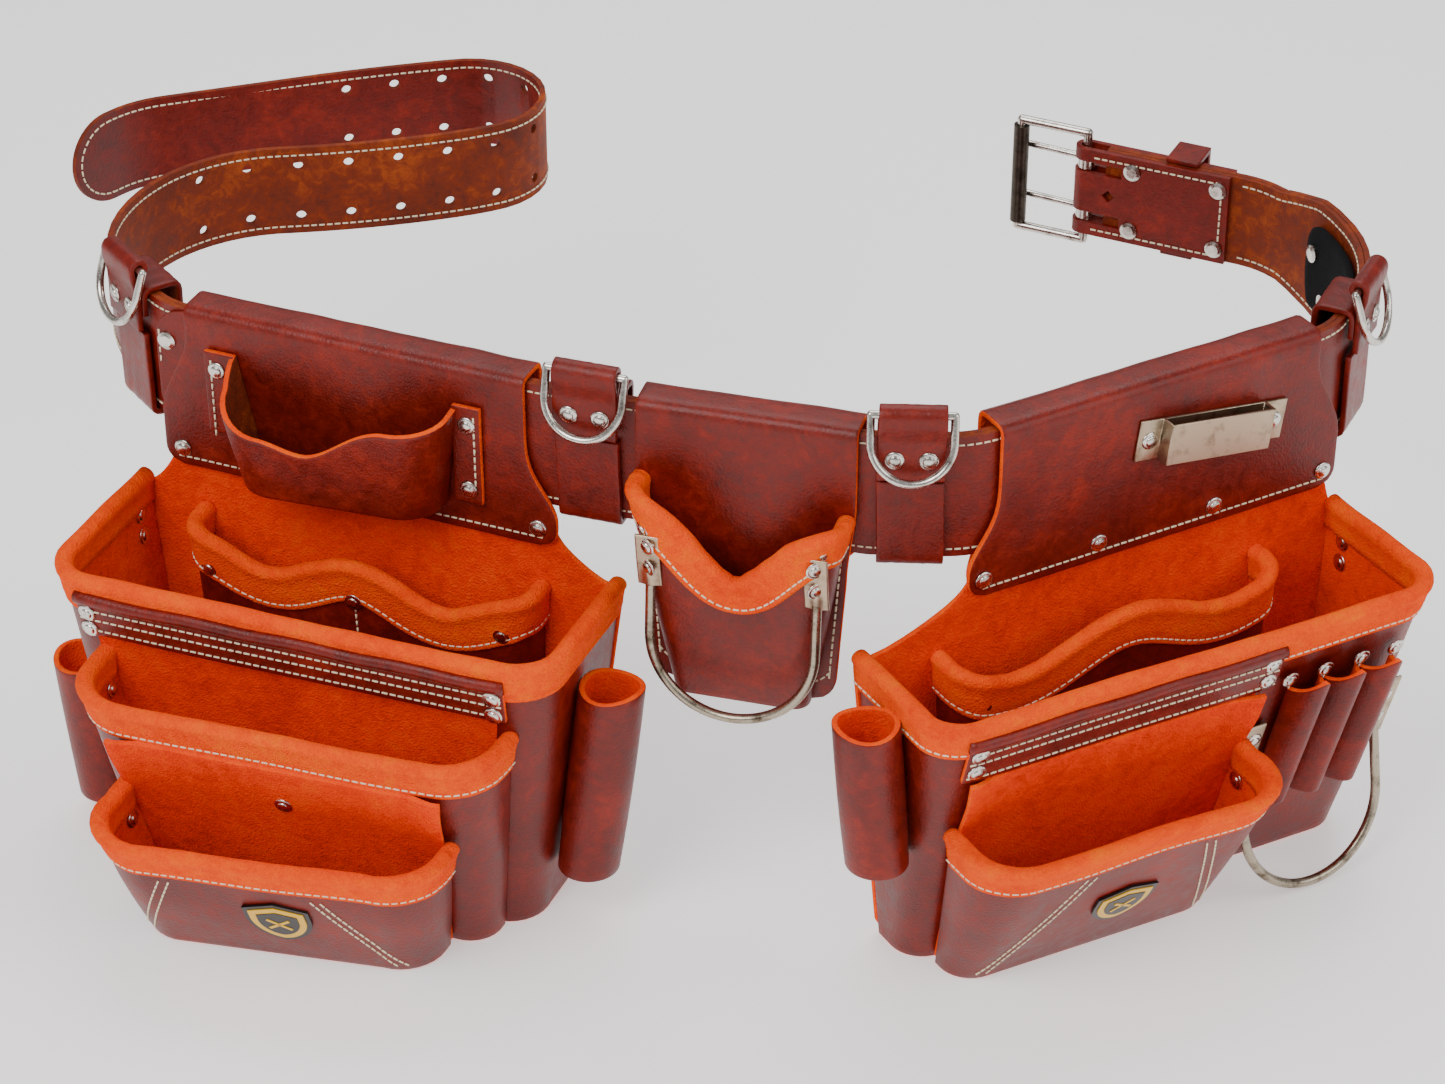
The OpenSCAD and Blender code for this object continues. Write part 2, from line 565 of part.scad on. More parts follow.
// Rivets along a pocket's front face and inside its back ends.
module face_rivets(low, high, h, points, out) {
    for (p = points) let (q = mix(low, high, p[1] / h))
        rivet(p[0], face_n(q, p[0]) + out, p[1], -atan((q[5] - q[4]) / (q[1] - q[0] - 2 * q[6])), atan((high[4] - low[4]) / h));
}
module left_rivets() {
    color(steel) left() {
        for (x = [-104, 104]) rivet(x, ring_n, flap_low + 8);
        for (p = [[-73, 48], [61, 48], [61, 16]]) rivet(p[0], ring_n + seat + leather, flap_low + 8 + p[1]);
        for (x = [-76, 5, 86]) rivet(x, face_n(mix(li_lo, li_hi, 112 / (li_h + 8)), x) + 0.2, li_z + 112, 0, atan(12 / li_h));
        face_rivets(lm_lo, lm_hi, main_h, [for (x = [-100, 114], z = [155, 145]) [x, z]], 4.1);
        face_rivets(lf_lo, lf_hi, left_front_h, [for (x = [-54, 80]) [x, 66]], 0);
        face_rivets(lc_lo, lc_hi, middle_h, [[15, 92]], 3.6);
    }
}

// Right bag, from its back panel outwards.
rm_lo = [-152, 106, q_back, q_back, 34, 43, 12];
rm_hi = [-168, 112, q_back, q_back, 82, 92, 14];
function rm(z) = mix(rm_lo, rm_hi, z / main_h);
ri_lo = [-118, 60, q_back, q_back, 18, 18, 8];
ri_hi = [-124, 66, q_back, q_back, 32, 28, 10];
ri_h = 138;
ri_z = 24;
ri_dip = function (x) 10 - 8 * cos(360 * (x + 30) / 125);
rf_lo = behind([-140, 8, 0, 0, 60, 66, 14], rm(0) + [0, 0, 0, 0, lf_back_t, lf_back_t, 0]);
rf_hi = behind([-152, 12, 0, 0, 109, 116, 18], rm(right_front_h) + [0, 0, 0, 0, lf_back_t, lf_back_t, 0]);
function rf(z) = mix(rf_lo, rf_hi, z / right_front_h);
slot_x = [27, 90];
module right() belt_frame(s_right) children();

module right_panel() { right() bag_panel(rm_lo, rm_hi, 1); }
module right_tape_clip() {
    n = ring_n + seat;
    color(steel) right() translate([28, 0, bag_h - 36]) rotate([0, 8, 0]) {
        upright(n, n + 1.4) difference() {
            translate([-44, -11]) square([88, 22]);
        }
        upright(n + 8, n + 9.4) translate([-31, -11]) square([62, 22]);
        for (side = [-1, 1]) upright(n, n + 9.4) translate([side * 30.3 - 0.7, -11]) square([1.4, 22]);
    }
}
module right_inner_pocket() {
    color(suede) right() translate([0, 0, ri_z]) difference() {
        tub(ri_lo, ri_hi, 0, ri_h);
        above(-150, 110, ri_h, ri_dip);
    }
}
module right_inner_rim() { color(suede) right() translate([0, 0, ri_z]) rim_roll(ri_lo, ri_hi, ri_h, ri_dip, 20); }
module right_main_pocket() { color(suede) right() tub(rm_lo, rm_hi, 0, main_h); }
module right_main_rim() { color(suede) right() rim_roll(rm_lo, rm_hi, main_h); }
module right_strip() {
    color(cherry) right() {
        front_plate(rm_lo, rm_hi, main_h, rm_hi[0] + 14, 20, main_h - 34, main_h - 6);
        bar_along([for (x = [rm_hi[0] + 14, 20]) [x, -face_n(rm(main_h - 5), x) - 4.6, main_h - 5]], 8);
    }
}
module right_front_back() {
    color(suede) right() front_plate(rm_lo, rm_hi, main_h, rf_lo[0] - 4, rf_hi[1] - 4, 2, right_front_h + 32);
}
module right_front_pocket() { color(suede) right() tub(rf_lo, rf_hi, 0, right_front_h); }
module right_front_rim() { color(suede) right() rim_roll(rf_lo, rf_hi, right_front_h); }
module right_tool_tube() {
    n = 40;
    z = main_h - tube_h * 0.75 - 6;
    right() tube([rm(z)[0] - 17, -n, z], [rm(z + tube_h * 0.75)[0] - 17, -n, z + tube_h * 0.75]);
}
// Leather panel stitched down in lines, so that it stands off the pocket in three open slots.
module right_tool_slots() {
    lift = 15;
    n = 18;
    z0 = 56;
    z1 = main_h - 22;
    w = (slot_x[1] - slot_x[0]) / 3;
    slope = (rm_hi[5] - rm_hi[4]) / (rm_hi[1] - rm_hi[0] - 2 * rm_hi[6]);
    line = function (z, out) [for (i = [0:n]) let (x = mix(slot_x[0], slot_x[1], i / n))
        [x, -face_n(rm(z), slot_x[0]) - slope * (x - slot_x[0]) - 0.7 - out
            - lift * abs(sin(180 * (x - slot_x[0]) / w)), z]];
    ring = function (z) let (o = line(z, leather), i = line(z, 0)) concat(i, [for (k = [n:-1:0]) o[k]]);
    color(cherry) right() skin([ring(z0), ring(z1)]);
}
module right_hammer_loop() {
    z = 76;
    x0 = (slot_x[0] + slot_x[1]) / 2;
    n = face_n(rm(z), x0) + 3;
    color(bronze) right() {
        hammer_loop(x0, n, n + 14, z);
        loop_tabs(rm_lo, rm_hi, main_h, x0, z, 36);
    }
}
module right_badges() {
    color("#e8b820") right() {
        badge(rf_lo, rf_hi, right_front_h, -66, 42);
        translate([rm(128)[1] + 0.4, -46, 128]) rotate([90, 0, 90]) linear_extrude(1) polygon(
            [[-7, -11], [7, -11], [7, 11], [-7, 11]]);
    }
}
module right_rivets() {
    x0 = (slot_x[0] + slot_x[1]) / 2;
    color(steel) right() {
        for (x = [-104, -36, 36, 104]) rivet(x, ring_n, flap_low + 8);
        for (x = [-37, 37]) translate([28, 0, bag_h - 36]) rotate([0, 8, 0]) rivet(x, ring_n + seat + 1.4, 0);
        face_rivets(rm_lo, rm_hi, main_h, [for (x = [-148, 14], z = [148, 138]) [x, z]], 3.6);
        face_rivets(rf_lo, rf_hi, right_front_h, [for (x = [-134, -6]) [x, 88]], 0);
        face_rivets(rm_lo, rm_hi, main_h, [for (side = [-1, 1], z = [86, 102]) [x0 + side * hammer_w / 2, z]], 4);
    }
}

belt_outer_strap();
belt_lining();
back_pad();
belt_end_patch();
buckle_billet();
belt_keeper();
belt_rivets();
buckle_frame();
buckle_roller();
upper_prong();
lower_prong();
ring_strap(s_loop[0]);  // ring_strap_1
ring_strap(s_loop[1]);  // ring_strap_2
ring_strap(s_loop[2]);  // ring_strap_3
ring_strap(s_loop[3]);  // ring_strap_4
ring_rivets(s_loop[0]);  // ring_rivets_1
ring_rivets(s_loop[1]);  // ring_rivets_2
ring_rivets(s_loop[2]);  // ring_rivets_3
ring_rivets(s_loop[3]);  // ring_rivets_4
d_ring(s_loop[0]);  // d_ring_1
d_ring(s_loop[1]);  // d_ring_2
d_ring(s_loop[2]);  // d_ring_3
d_ring(s_loop[3]);  // d_ring_4
holder_panel();
holder_pocket();
holder_rim();
holder_hammer_loop();
holder_rivets();
left_panel();
left_tape_pouch();
left_inner_pocket();
left_inner_rim();
left_main_pocket();
left_main_rim();
left_strip();
left_middle_pocket();
left_middle_rim();
left_front_back();
left_front_pocket();
left_front_rim();
left_outer_tube();
left_inner_tube();
left_badge();
left_rivets();
right_panel();
right_tape_clip();
right_inner_pocket();
right_inner_rim();
right_main_pocket();
right_main_rim();
right_strip();
right_front_back();
right_front_pocket();
right_front_rim();
right_tool_tube();
right_tool_slots();
right_hammer_loop();
right_badges();
right_rivets();
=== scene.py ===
import bpy, bmesh, json, math
import numpy as np
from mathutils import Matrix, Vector

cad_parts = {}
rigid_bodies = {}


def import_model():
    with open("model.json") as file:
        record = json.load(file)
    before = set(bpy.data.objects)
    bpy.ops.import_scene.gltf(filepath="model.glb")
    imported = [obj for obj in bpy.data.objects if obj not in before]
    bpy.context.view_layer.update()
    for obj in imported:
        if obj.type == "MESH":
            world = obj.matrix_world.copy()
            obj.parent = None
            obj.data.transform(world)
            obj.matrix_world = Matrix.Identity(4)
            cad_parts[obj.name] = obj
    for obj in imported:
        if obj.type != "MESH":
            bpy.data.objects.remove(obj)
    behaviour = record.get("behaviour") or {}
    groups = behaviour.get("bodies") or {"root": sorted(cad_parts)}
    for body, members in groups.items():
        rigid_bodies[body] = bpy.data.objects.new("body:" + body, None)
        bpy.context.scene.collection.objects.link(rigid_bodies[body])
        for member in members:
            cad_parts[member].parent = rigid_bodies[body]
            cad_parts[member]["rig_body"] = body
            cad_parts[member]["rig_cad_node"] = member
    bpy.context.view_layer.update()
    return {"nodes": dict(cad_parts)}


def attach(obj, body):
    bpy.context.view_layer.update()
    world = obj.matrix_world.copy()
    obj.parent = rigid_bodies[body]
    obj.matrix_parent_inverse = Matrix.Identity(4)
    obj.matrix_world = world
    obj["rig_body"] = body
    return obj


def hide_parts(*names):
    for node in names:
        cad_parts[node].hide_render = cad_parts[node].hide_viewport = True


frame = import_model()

# ---- Belt ----
# Two plies of oiled leather, cherry grain outside and brown flesh inside, sewn along both edges. Past the left bag
# the belt narrows to a one-ply tongue with two rows of prong holes; a folded billet and a keeper sit at its buckle.
# It lies on its edge in a hooked curve, and everything else is placed by a station along it, in mm.
MM = 0.001
BELT_MID = 241.2
HALF_BACK, HALF_TONGUE = 33, 25.5
LEFT_BAG, RIGHT_BAG = -202, 210
END = 592

# Each run is a length in mm and the degrees it turns, from the middle of the hammer holder outwards.
RIGHT = [(56, 0), (4, 10), (36, 6), (22, 29), (184, 0), (20, 30), (36, 10), (62, 35), (66, 28), (18, 22), (88, 0)]
LEFT = [(56, 0), (4, -2), (36, -2), (14, -3), (184, 0), (22, -30), (36, -8), (108, -62), (74, -52), (96, 12),
        (22, 8), (126, 166), (56, 4), (110, 4), (30, 30), (30, 0)]
START = (16.0, -131.7, -15.0)


def step_along(p, length, turn, d):
    h = math.radians(p[2])
    if turn == 0:
        return (p[0] + d * math.cos(h), p[1] + d * math.sin(h), p[2])
    r, k = length / math.radians(turn), math.radians(p[2] + turn * d / length)
    return (p[0] + r * (math.sin(k) - math.sin(h)), p[1] - r * (math.cos(k) - math.cos(h)), math.degrees(k))


def belt_pose(s):
    """Place and heading of the belt's line at a station."""
    path, p, d = (RIGHT, START, s) if s >= 0 else (LEFT, (START[0], START[1], START[2] + 180), -s)
    for i, (length, turn) in enumerate(path):
        if d <= length or i == len(path) - 1:
            p = step_along(p, length, turn, d)
            break
        p, d = step_along(p, length, turn, length), d - length
    return p if s >= 0 else (p[0], p[1], p[2] - 180)


def on_belt(s, n, z):
    x0, y0, h = belt_pose(s)
    return np.array([x0 + n * math.sin(math.radians(h)), y0 - n * math.cos(math.radians(h)), z]) * MM


def place(s, q):
    """Points (x along the belt, n outwards, z up) in mm at station s, as world metres."""
    q = np.asarray(q, float)
    x0, y0, h = belt_pose(s)
    c, k = math.cos(math.radians(h)), math.sin(math.radians(h))
    return np.stack([x0 + q[..., 0] * c + q[..., 1] * k, y0 + q[..., 0] * k - q[..., 1] * c, q[..., 2]], -1) * MM


def mix(a, b, k):
    return a + (b - a) * k


def srgb(h):
    """A hex colour as linear RGBA."""
    c = [int(h[i:i + 2], 16) / 255 for i in (1, 3, 5)]
    return [v / 12.92 if v <= 0.04045 else ((v + 0.055) / 1.055) ** 2.4 for v in c] + [1.0]


def node(tree, kind, at=(0, 0), inputs=None, **props):
    n = tree.nodes.new(kind)
    n.location = at
    for k, v in props.items():
        setattr(n, k, v)
    for k, v in (inputs or {}).items():
        n.inputs[k].default_value = v
    return n


def material(name):
    m = bpy.data.materials.new(name)
    m.use_nodes = True
    t = m.node_tree
    return m, t, t.nodes["Principled BSDF"]


# Leather: pores and creases in the bump, slow colour drift, and lighter rubbed patches.
def leather(name, dark, mid, light, rough=0.42, pore=900, bump=0.25, coat=0.12, nap=0.0):
    m, t, b = material(name)
    tc = node(t, "ShaderNodeTexCoord", (-1500, 0))
    drift = node(t, "ShaderNodeTexNoise", (-1200, 300), {"Scale": 22.0, "Detail": 5.0, "Roughness": 0.6})
    fine = node(t, "ShaderNodeTexNoise", (-1200, 0), {"Scale": float(pore), "Detail": 3.0, "Roughness": 0.65})
    streak = node(t, "ShaderNodeTexNoise", (-1200, 150),
                  {"Scale": 140.0, "Detail": 6.0, "Roughness": 0.7, "Distortion": 0.6})
    cells = node(t, "ShaderNodeTexVoronoi", (-1200, -300), {"Scale": pore * 0.9}, feature="F1")
    for n in (drift, fine, streak, cells):
        t.links.new(tc.outputs["Object"], n.inputs["Vector"])
    ramp = node(t, "ShaderNodeValToRGB", (-900, 300))
    ramp.color_ramp.elements[0].position, ramp.color_ramp.elements[0].color = 0.32, srgb(dark)
    ramp.color_ramp.elements[1].position, ramp.color_ramp.elements[1].color = 0.72, srgb(light)
    ramp.color_ramp.elements.new(0.52).color = srgb(mid)
    mixf = node(t, "ShaderNodeMath", (-1040, 260), {1: 0.55}, operation="MULTIPLY_ADD")
    t.links.new(streak.outputs["Fac"], mixf.inputs[0])
    half = node(t, "ShaderNodeMath", (-1180, 460), {1: 0.45}, operation="MULTIPLY")
    t.links.new(drift.outputs["Fac"], half.inputs[0])
    t.links.new(half.outputs[0], mixf.inputs[2])
    t.links.new(mixf.outputs[0], ramp.inputs["Fac"])
    t.links.new(ramp.outputs["Color"], b.inputs["Base Color"])
    rr = node(t, "ShaderNodeMapRange", (-700, 60),
              {"From Min": 0.3, "From Max": 0.7, "To Min": rough - 0.08, "To Max": rough + 0.12})
    t.links.new(streak.outputs["Fac"], rr.inputs["Value"])
    t.links.new(rr.outputs["Result"], b.inputs["Roughness"])
    add = node(t, "ShaderNodeMath", (-700, -200), {1: 0.6}, operation="MULTIPLY_ADD")
    t.links.new(fine.outputs["Fac"], add.inputs[0])
    t.links.new(cells.outputs["Distance"], add.inputs[2])
    bp = node(t, "ShaderNodeBump", (-400, -200), {"Strength": bump, "Distance": 0.0006})
    t.links.new(add.outputs[0], bp.inputs["Height"])
    t.links.new(bp.outputs["Normal"], b.inputs["Normal"])
    b.inputs["Coat Weight"].default_value = coat
    b.inputs["Coat Roughness"].default_value = 0.35
    b.inputs["Sheen Weight"].default_value = nap
    b.inputs["Sheen Roughness"].default_value = 0.5
    b.inputs["Sheen Tint"].default_value = srgb(light)
    b.inputs["Specular IOR Level"].default_value = 0.1 if nap else 0.35
    return m


CHERRY = leather("cherry full-grain leather", "#4c0600", "#721000", "#9a2004", 0.4, 800, 0.22, 0.06)
FLESH = leather("brown oiled flesh side", "#481200", "#7c2800", "#b85208", 0.7, 1100, 0.4, 0.0)


def remade(name, mats, bevel, pick=None):
    """A CAD part with its faces joined, its edges rounded, and a material for each face."""
    src = frame["nodes"][name]
    bm = bmesh.new()
    bm.from_mesh(src.data)
    bmesh.ops.remove_doubles(bm, verts=bm.verts, dist=0.00002)
    bmesh.ops.dissolve_limit(bm, angle_limit=0.002, verts=bm.verts, edges=bm.edges)
    me = bpy.data.meshes.new(name + "_look")
    for m in mats:
        me.materials.append(m)
    for f in bm.faces:
        f.material_index = pick(f) if pick else 0
        f.smooth = True
    bm.to_mesh(me)
    bm.free()
    o = bpy.data.objects.new(name + "_look", me)
    bpy.context.collection.objects.link(o)
    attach(o, src["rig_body"])
    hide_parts(name)
    me.set_sharp_from_angle(angle=math.radians(32))
    bv = o.modifiers.new("edge round", "BEVEL")
    bv.width, bv.segments, bv.limit_method, bv.angle_limit = bevel * MM, 2, "ANGLE", math.radians(40)
    return o


STATIONS = np.arange(-1004, 592, 4.0)


def side_of(f):
    """Grain outside, flesh inside and on the cut edges, by the belt's own outward side nearest the face."""
    n, c = f.normal, f.calc_center_median()
    if abs(n.z) > 0.5:
        return 1
    best, bd = None, 9
    for s in STATIONS:
        p = belt_pose(s)
        d = (p[0] * MM - c.x) ** 2 + (p[1] * MM - c.y) ** 2
        if d < bd:
            best, bd = p, d
    h = math.radians(best[2])
    dot = n.x * math.sin(h) - n.y * math.cos(h)
    return 0 if dot > 0.5 else 1


remade("belt_outer_strap", [CHERRY, FLESH], 0.5, side_of)
remade("belt_lining", [FLESH], 0.4)
remade("belt_end_patch", [CHERRY], 0.3)
remade("buckle_billet", [CHERRY, FLESH], 0.5)
remade("belt_keeper", [CHERRY], 0.7)

# ---- Seams of the belt ----
# Waxed cream thread in lock stitches, 4.2 mm in from each edge, round the tongue's tip and round the folded billet.
# The lines are queued here and sewn at the end, when every piece has its seams.
SEAMS = {}


def seam(body, pts):
    """Queues a line of stitches through world points."""
    SEAMS.setdefault(body, []).append(np.asarray(pts, float))


def resample(P, step):
    d = np.concatenate([[0], np.cumsum(np.linalg.norm(np.diff(P, axis=0), axis=1))])
    s = np.linspace(0, d[-1], max(2, int(d[-1] / step)))
    return np.stack([np.interp(s, d, P[:, k]) for k in range(P.shape[1])], 1)


def edge_z(s, side):
    """Height of the belt's upper or lower edge at a station."""
    k = 1.0
    if s < -326:
        k = min(max((s + 356) / 30, 0), 1)
    if s > 448:
        k = min(max((478 - s) / 30, 0), 1)
    return BELT_MID + side * mix(HALF_TONGUE, HALF_BACK, k)


def belt_line(a, b, n, side, inset=4.2):
    """Stitches along one edge of the belt, on the face that stands n mm out."""
    seam("belt", [on_belt(s, n, edge_z(s, side) - side * inset) for s in np.arange(a, b, 3.0)])


for side in (-1, 1):
    belt_line(-978, 505, 3.15, side)
    belt_line(-978, -326, -0.15, side)
    belt_line(-326, 505, -2.95, side)
for n in (3.15, -0.15):
    seam("belt", [on_belt(-978.5 - 21.3 * math.cos(t), n, BELT_MID + 21.3 * math.sin(t))
                  for t in np.linspace(-math.pi / 2, math.pi / 2, 26)])

for n in (-6.5, 6.7):
    loop = [(END - 8, -21.5), (END - 78, -21.5), (END - 78, 21.5), (END - 8, 21.5)]
    q = resample(np.array(loop, float), 3.0)
    seam("belt", [on_belt(s, n, BELT_MID + z) for s, z in q])
seam("belt", place(LEFT_BAG - 92, [(-16.2, 4.5, BELT_MID + z) for z in np.linspace(3, 18, 7)]))

# ---- Buckle, rings and rivets of the belt ----
# A two-prong roller buckle and four D-rings of plated steel wire, a dark worn roller, and capped rivets. Their shapes
# are the frame's own.

# Metal: plated or brushed, with smudges and, when brushed, fine scratches in the roughness.
def metal(name, colour, rough, brushed=False, dirt="#3a322a"):
    m, t, b = material(name)
    tc = node(t, "ShaderNodeTexCoord", (-1100, 0))
    sm = node(t, "ShaderNodeTexNoise", (-850, 150), {"Scale": 120.0, "Detail": 5.0, "Roughness": 0.6})
    mp = node(t, "ShaderNodeMapping", (-980, -150),
              {"Scale": (60.0, 900.0, 900.0) if brushed else (300.0, 300.0, 300.0)})
    sc = node(t, "ShaderNodeTexNoise", (-800, -150), {"Scale": 3.0, "Detail": 4.0})
    t.links.new(tc.outputs["Object"], sm.inputs["Vector"])
    t.links.new(tc.outputs["Object"], mp.inputs["Vector"])
    t.links.new(mp.outputs["Vector"], sc.inputs["Vector"])
    cr = node(t, "ShaderNodeValToRGB", (-600, 250))
    cr.color_ramp.elements[0].position, cr.color_ramp.elements[0].color = 0.3, srgb(dirt)
    cr.color_ramp.elements[1].position, cr.color_ramp.elements[1].color = 0.5, srgb(colour)
    t.links.new(sm.outputs["Fac"], cr.inputs["Fac"])
    t.links.new(cr.outputs["Color"], b.inputs["Base Color"])
    mr = node(t, "ShaderNodeMapRange", (-500, -100),
              {"From Min": 0.35, "From Max": 0.65, "To Min": rough, "To Max": rough + 0.14})
    t.links.new(sc.outputs["Fac"], mr.inputs["Value"])
    t.links.new(mr.outputs["Result"], b.inputs["Roughness"])
    bp = node(t, "ShaderNodeBump", (-300, -300), {"Strength": 0.12 if brushed else 0.05, "Distance": 0.0003})
    t.links.new(sc.outputs["Fac"], bp.inputs["Height"])
    t.links.new(bp.outputs["Normal"], b.inputs["Normal"])
    b.inputs["Metallic"].default_value = 1.0
    return m


NICKEL = metal("nickel plated steel", "#d8d2ca", 0.16, dirt="#8a8078")
ROLLER = metal("worn dark roller", "#4a423a", 0.3, dirt="#2a2420")


def finish_node(name, look):
    """Gives its material to a part that keeps the frame's shape."""
    me = frame["nodes"][name].data
    me.materials.clear()
    me.materials.append(look)


for name in ("belt_rivets", "buckle_frame", "upper_prong", "lower_prong",
             "d_ring_1", "d_ring_2", "d_ring_3", "d_ring_4"):
    finish_node(name, NICKEL)
finish_node("buckle_roller", ROLLER)

# ---- Back pad ----
# A soft strip of black fleece with rounded ends, padded and sewn inside the wide back of the belt, with a rivet
# near each end.
FLEECE, _t, _b = material("black fleece")
_b.inputs["Roughness"].default_value = 1.0
_b.inputs["Sheen Weight"].default_value = 0.04
_b.inputs["Specular IOR Level"].default_value = 0.05
_tc = node(_t, "ShaderNodeTexCoord", (-900, 0))
_n = node(_t, "ShaderNodeTexNoise", (-650, 0), {"Scale": 700.0, "Detail": 6.0, "Roughness": 0.8})
_cr = node(_t, "ShaderNodeValToRGB", (-400, 150))
_cr.color_ramp.elements[0].color, _cr.color_ramp.elements[1].color = srgb("#030304"), srgb("#1c1c20")
_bp = node(_t, "ShaderNodeBump", (-250, -200), {"Strength": 0.9, "Distance": 0.0015})
_t.links.new(_tc.outputs["Object"], _n.inputs["Vector"])
_t.links.new(_n.outputs["Fac"], _cr.inputs["Fac"])
_t.links.new(_cr.outputs["Color"], _b.inputs["Base Color"])
_t.links.new(_n.outputs["Fac"], _bp.inputs["Height"])
_t.links.new(_bp.outputs["Normal"], _b.inputs["Normal"])


def mesh_object(name, verts, faces, mats, body, replaces=(), indices=None, smooth=True):
    me = bpy.data.meshes.new(name)
    me.from_pydata([tuple(v) for v in verts], [], faces)
    for m in mats:
        me.materials.append(m)
    if indices is not None:
        me.polygons.foreach_set("material_index", indices)
    me.polygons.foreach_set("use_smooth", [smooth] * len(me.polygons))
    me.update()
    o = bpy.data.objects.new(name, me)
    bpy.context.collection.objects.link(o)
    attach(o, body)
    if replaces:
        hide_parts(*replaces)
    return o


def bm_fix(o):
    bm = bmesh.new()
    bm.from_mesh(o.data)
    bmesh.ops.recalc_face_normals(bm, faces=bm.faces)
    bm.to_mesh(o.data)
    bm.free()


PAD_FROM, PAD_TO, PAD_HALF, PAD_ROUND = -290, 452, 24, 16
S = np.concatenate([np.linspace(PAD_FROM, PAD_FROM + PAD_ROUND, 9)[:-1],
                    np.arange(PAD_FROM + PAD_ROUND, PAD_TO - PAD_ROUND, 5.0),
                    np.linspace(PAD_TO - PAD_ROUND, PAD_TO, 9)])
V, m = [], 28
rs = np.random.RandomState(5)
for s in S:
    d = min(s - PAD_FROM, PAD_TO - s)
    hh = PAD_HALF if d > PAD_ROUND else 8 + math.sqrt(max(PAD_ROUND ** 2 - (PAD_ROUND - d) ** 2, 0.5))
    th = 3.6 * min(1, 0.35 + d / 14)
    for a in np.linspace(0, 2 * math.pi, m + 1)[:-1]:
        ca, sa = math.cos(a), math.sin(a)
        z = hh * math.copysign(abs(sa) ** 0.55, sa)
        n = -3.1 - th + th * math.copysign(abs(ca) ** 0.6, ca) + rs.uniform(-0.15, 0.15) * (ca < 0)
        V.append(on_belt(s, n, BELT_MID + z))
F = [[i * m + j, i * m + (j + 1) % m, (i + 1) * m + (j + 1) % m, (i + 1) * m + j] for i in range(len(S) - 1)
     for j in range(m)]
F += [list(range(m)), list(range((len(S) - 1) * m, len(S) * m))]
bm_fix(mesh_object("fleece_pad", V, F, [FLEECE], "belt", ("back_pad",)))

# ---- D-ring straps ----
# Four straps of belt leather, one at each ring. A strap is wrapped round the belt, folded over its ring and riveted
# to itself in front with two capped rivets.
RINGS = [-334, -78, 78, 340]
LEATHER = 3.0


def normals_of(P):
    du, dv = np.gradient(P, axis=0), np.gradient(P, axis=1)
    n = np.cross(du, dv)
    return n / np.maximum(np.linalg.norm(n, axis=-1, keepdims=True), 1e-12)


SUEDE = leather("orange suede split", "#e83400", "#ff5200", "#ff7600", 0.95, 1000, 1.0, 0.0, nap=0.12)
SPLIT = leather("deep orange suede split", "#cc2200", "#f63c00", "#ff5c00", 0.95, 1000, 1.0, 0.0, nap=0.1)


def sheet(name, P, body, thick=LEATHER, mats=(CHERRY, SPLIT, SUEDE), replaces=(), wrap=False, colour=None,
          flip=False):
    """Leather behind the grid P of world points, with an outer, an inner and an edge material."""
    P = np.asarray(P)
    a, b = P.shape[:2]
    N = normals_of(P) * (-1 if flip else 1)
    if wrap:
        N[0] = N[-1] = (N[0] + N[-1]) / np.linalg.norm(N[0] + N[-1], axis=-1, keepdims=True)
    back = P - N * thick * MM
    verts = np.concatenate([P.reshape(-1, 3), back.reshape(-1, 3)])
    idx = np.arange(a * b).reshape(a, b)
    k = a * b
    faces, mi = [], []
    for i in range(a - 1):
        for j in range(b - 1):
            q = [idx[i, j], idx[i + 1, j], idx[i + 1, j + 1], idx[i, j + 1]]
            if flip:
                q = q[::-1]
            c = colour(i / (a - 1), j / (b - 1)) if colour else 0
            faces += [[int(v) for v in q], [int(v) + k for v in q[::-1]]]
            mi += [c, 1]
    edge = [idx[:, 0], idx[::-1, -1]] + ([] if wrap else [idx[-1, :], idx[0, ::-1]])
    for line in edge:
        for u, v in zip(line[:-1], line[1:]):
            q = [int(v), int(u), int(u) + k, int(v) + k]
            if flip:
                q = q[::-1]
            faces.append(q)
            mi.append(2)
    o = mesh_object(name, verts, faces, mats, body, replaces, mi)
    bv = o.modifiers.new("edge round", "BEVEL")
    bv.width, bv.segments, bv.limit_method, bv.angle_limit = 0.0006, 2, "ANGLE", math.radians(50)
    return o


def soft_noise(u, v, seed):
    r = np.random.RandomState(seed)
    out = 0
    for k in range(6):
        fu, fv, ph, am = r.uniform(0.7, 3.2), r.uniform(0.3, 1.6), r.uniform(0, 6.28), 1 / (1 + 0.5 * k)
        out = out + am * np.sin(2 * math.pi * (fu * u + fv * v) + ph)
    return out / 3.0


def rounded(points, r=6, n=6):
    pts = [np.array(p, float) for p in points]
    out = [pts[0]]
    for a, p, b in zip(pts[:-2], pts[1:-1], pts[2:]):
        la, lb = np.linalg.norm(a - p), np.linalg.norm(b - p)
        q0, q1 = p + (a - p) / la * min(r, la * 0.49), p + (b - p) / lb * min(r, lb * 0.49)
        out += [(1 - t) ** 2 * q0 + 2 * t * (1 - t) * p + t * t * q1 for t in np.linspace(0, 1, n)]
    return np.array(out + [pts[-1]])


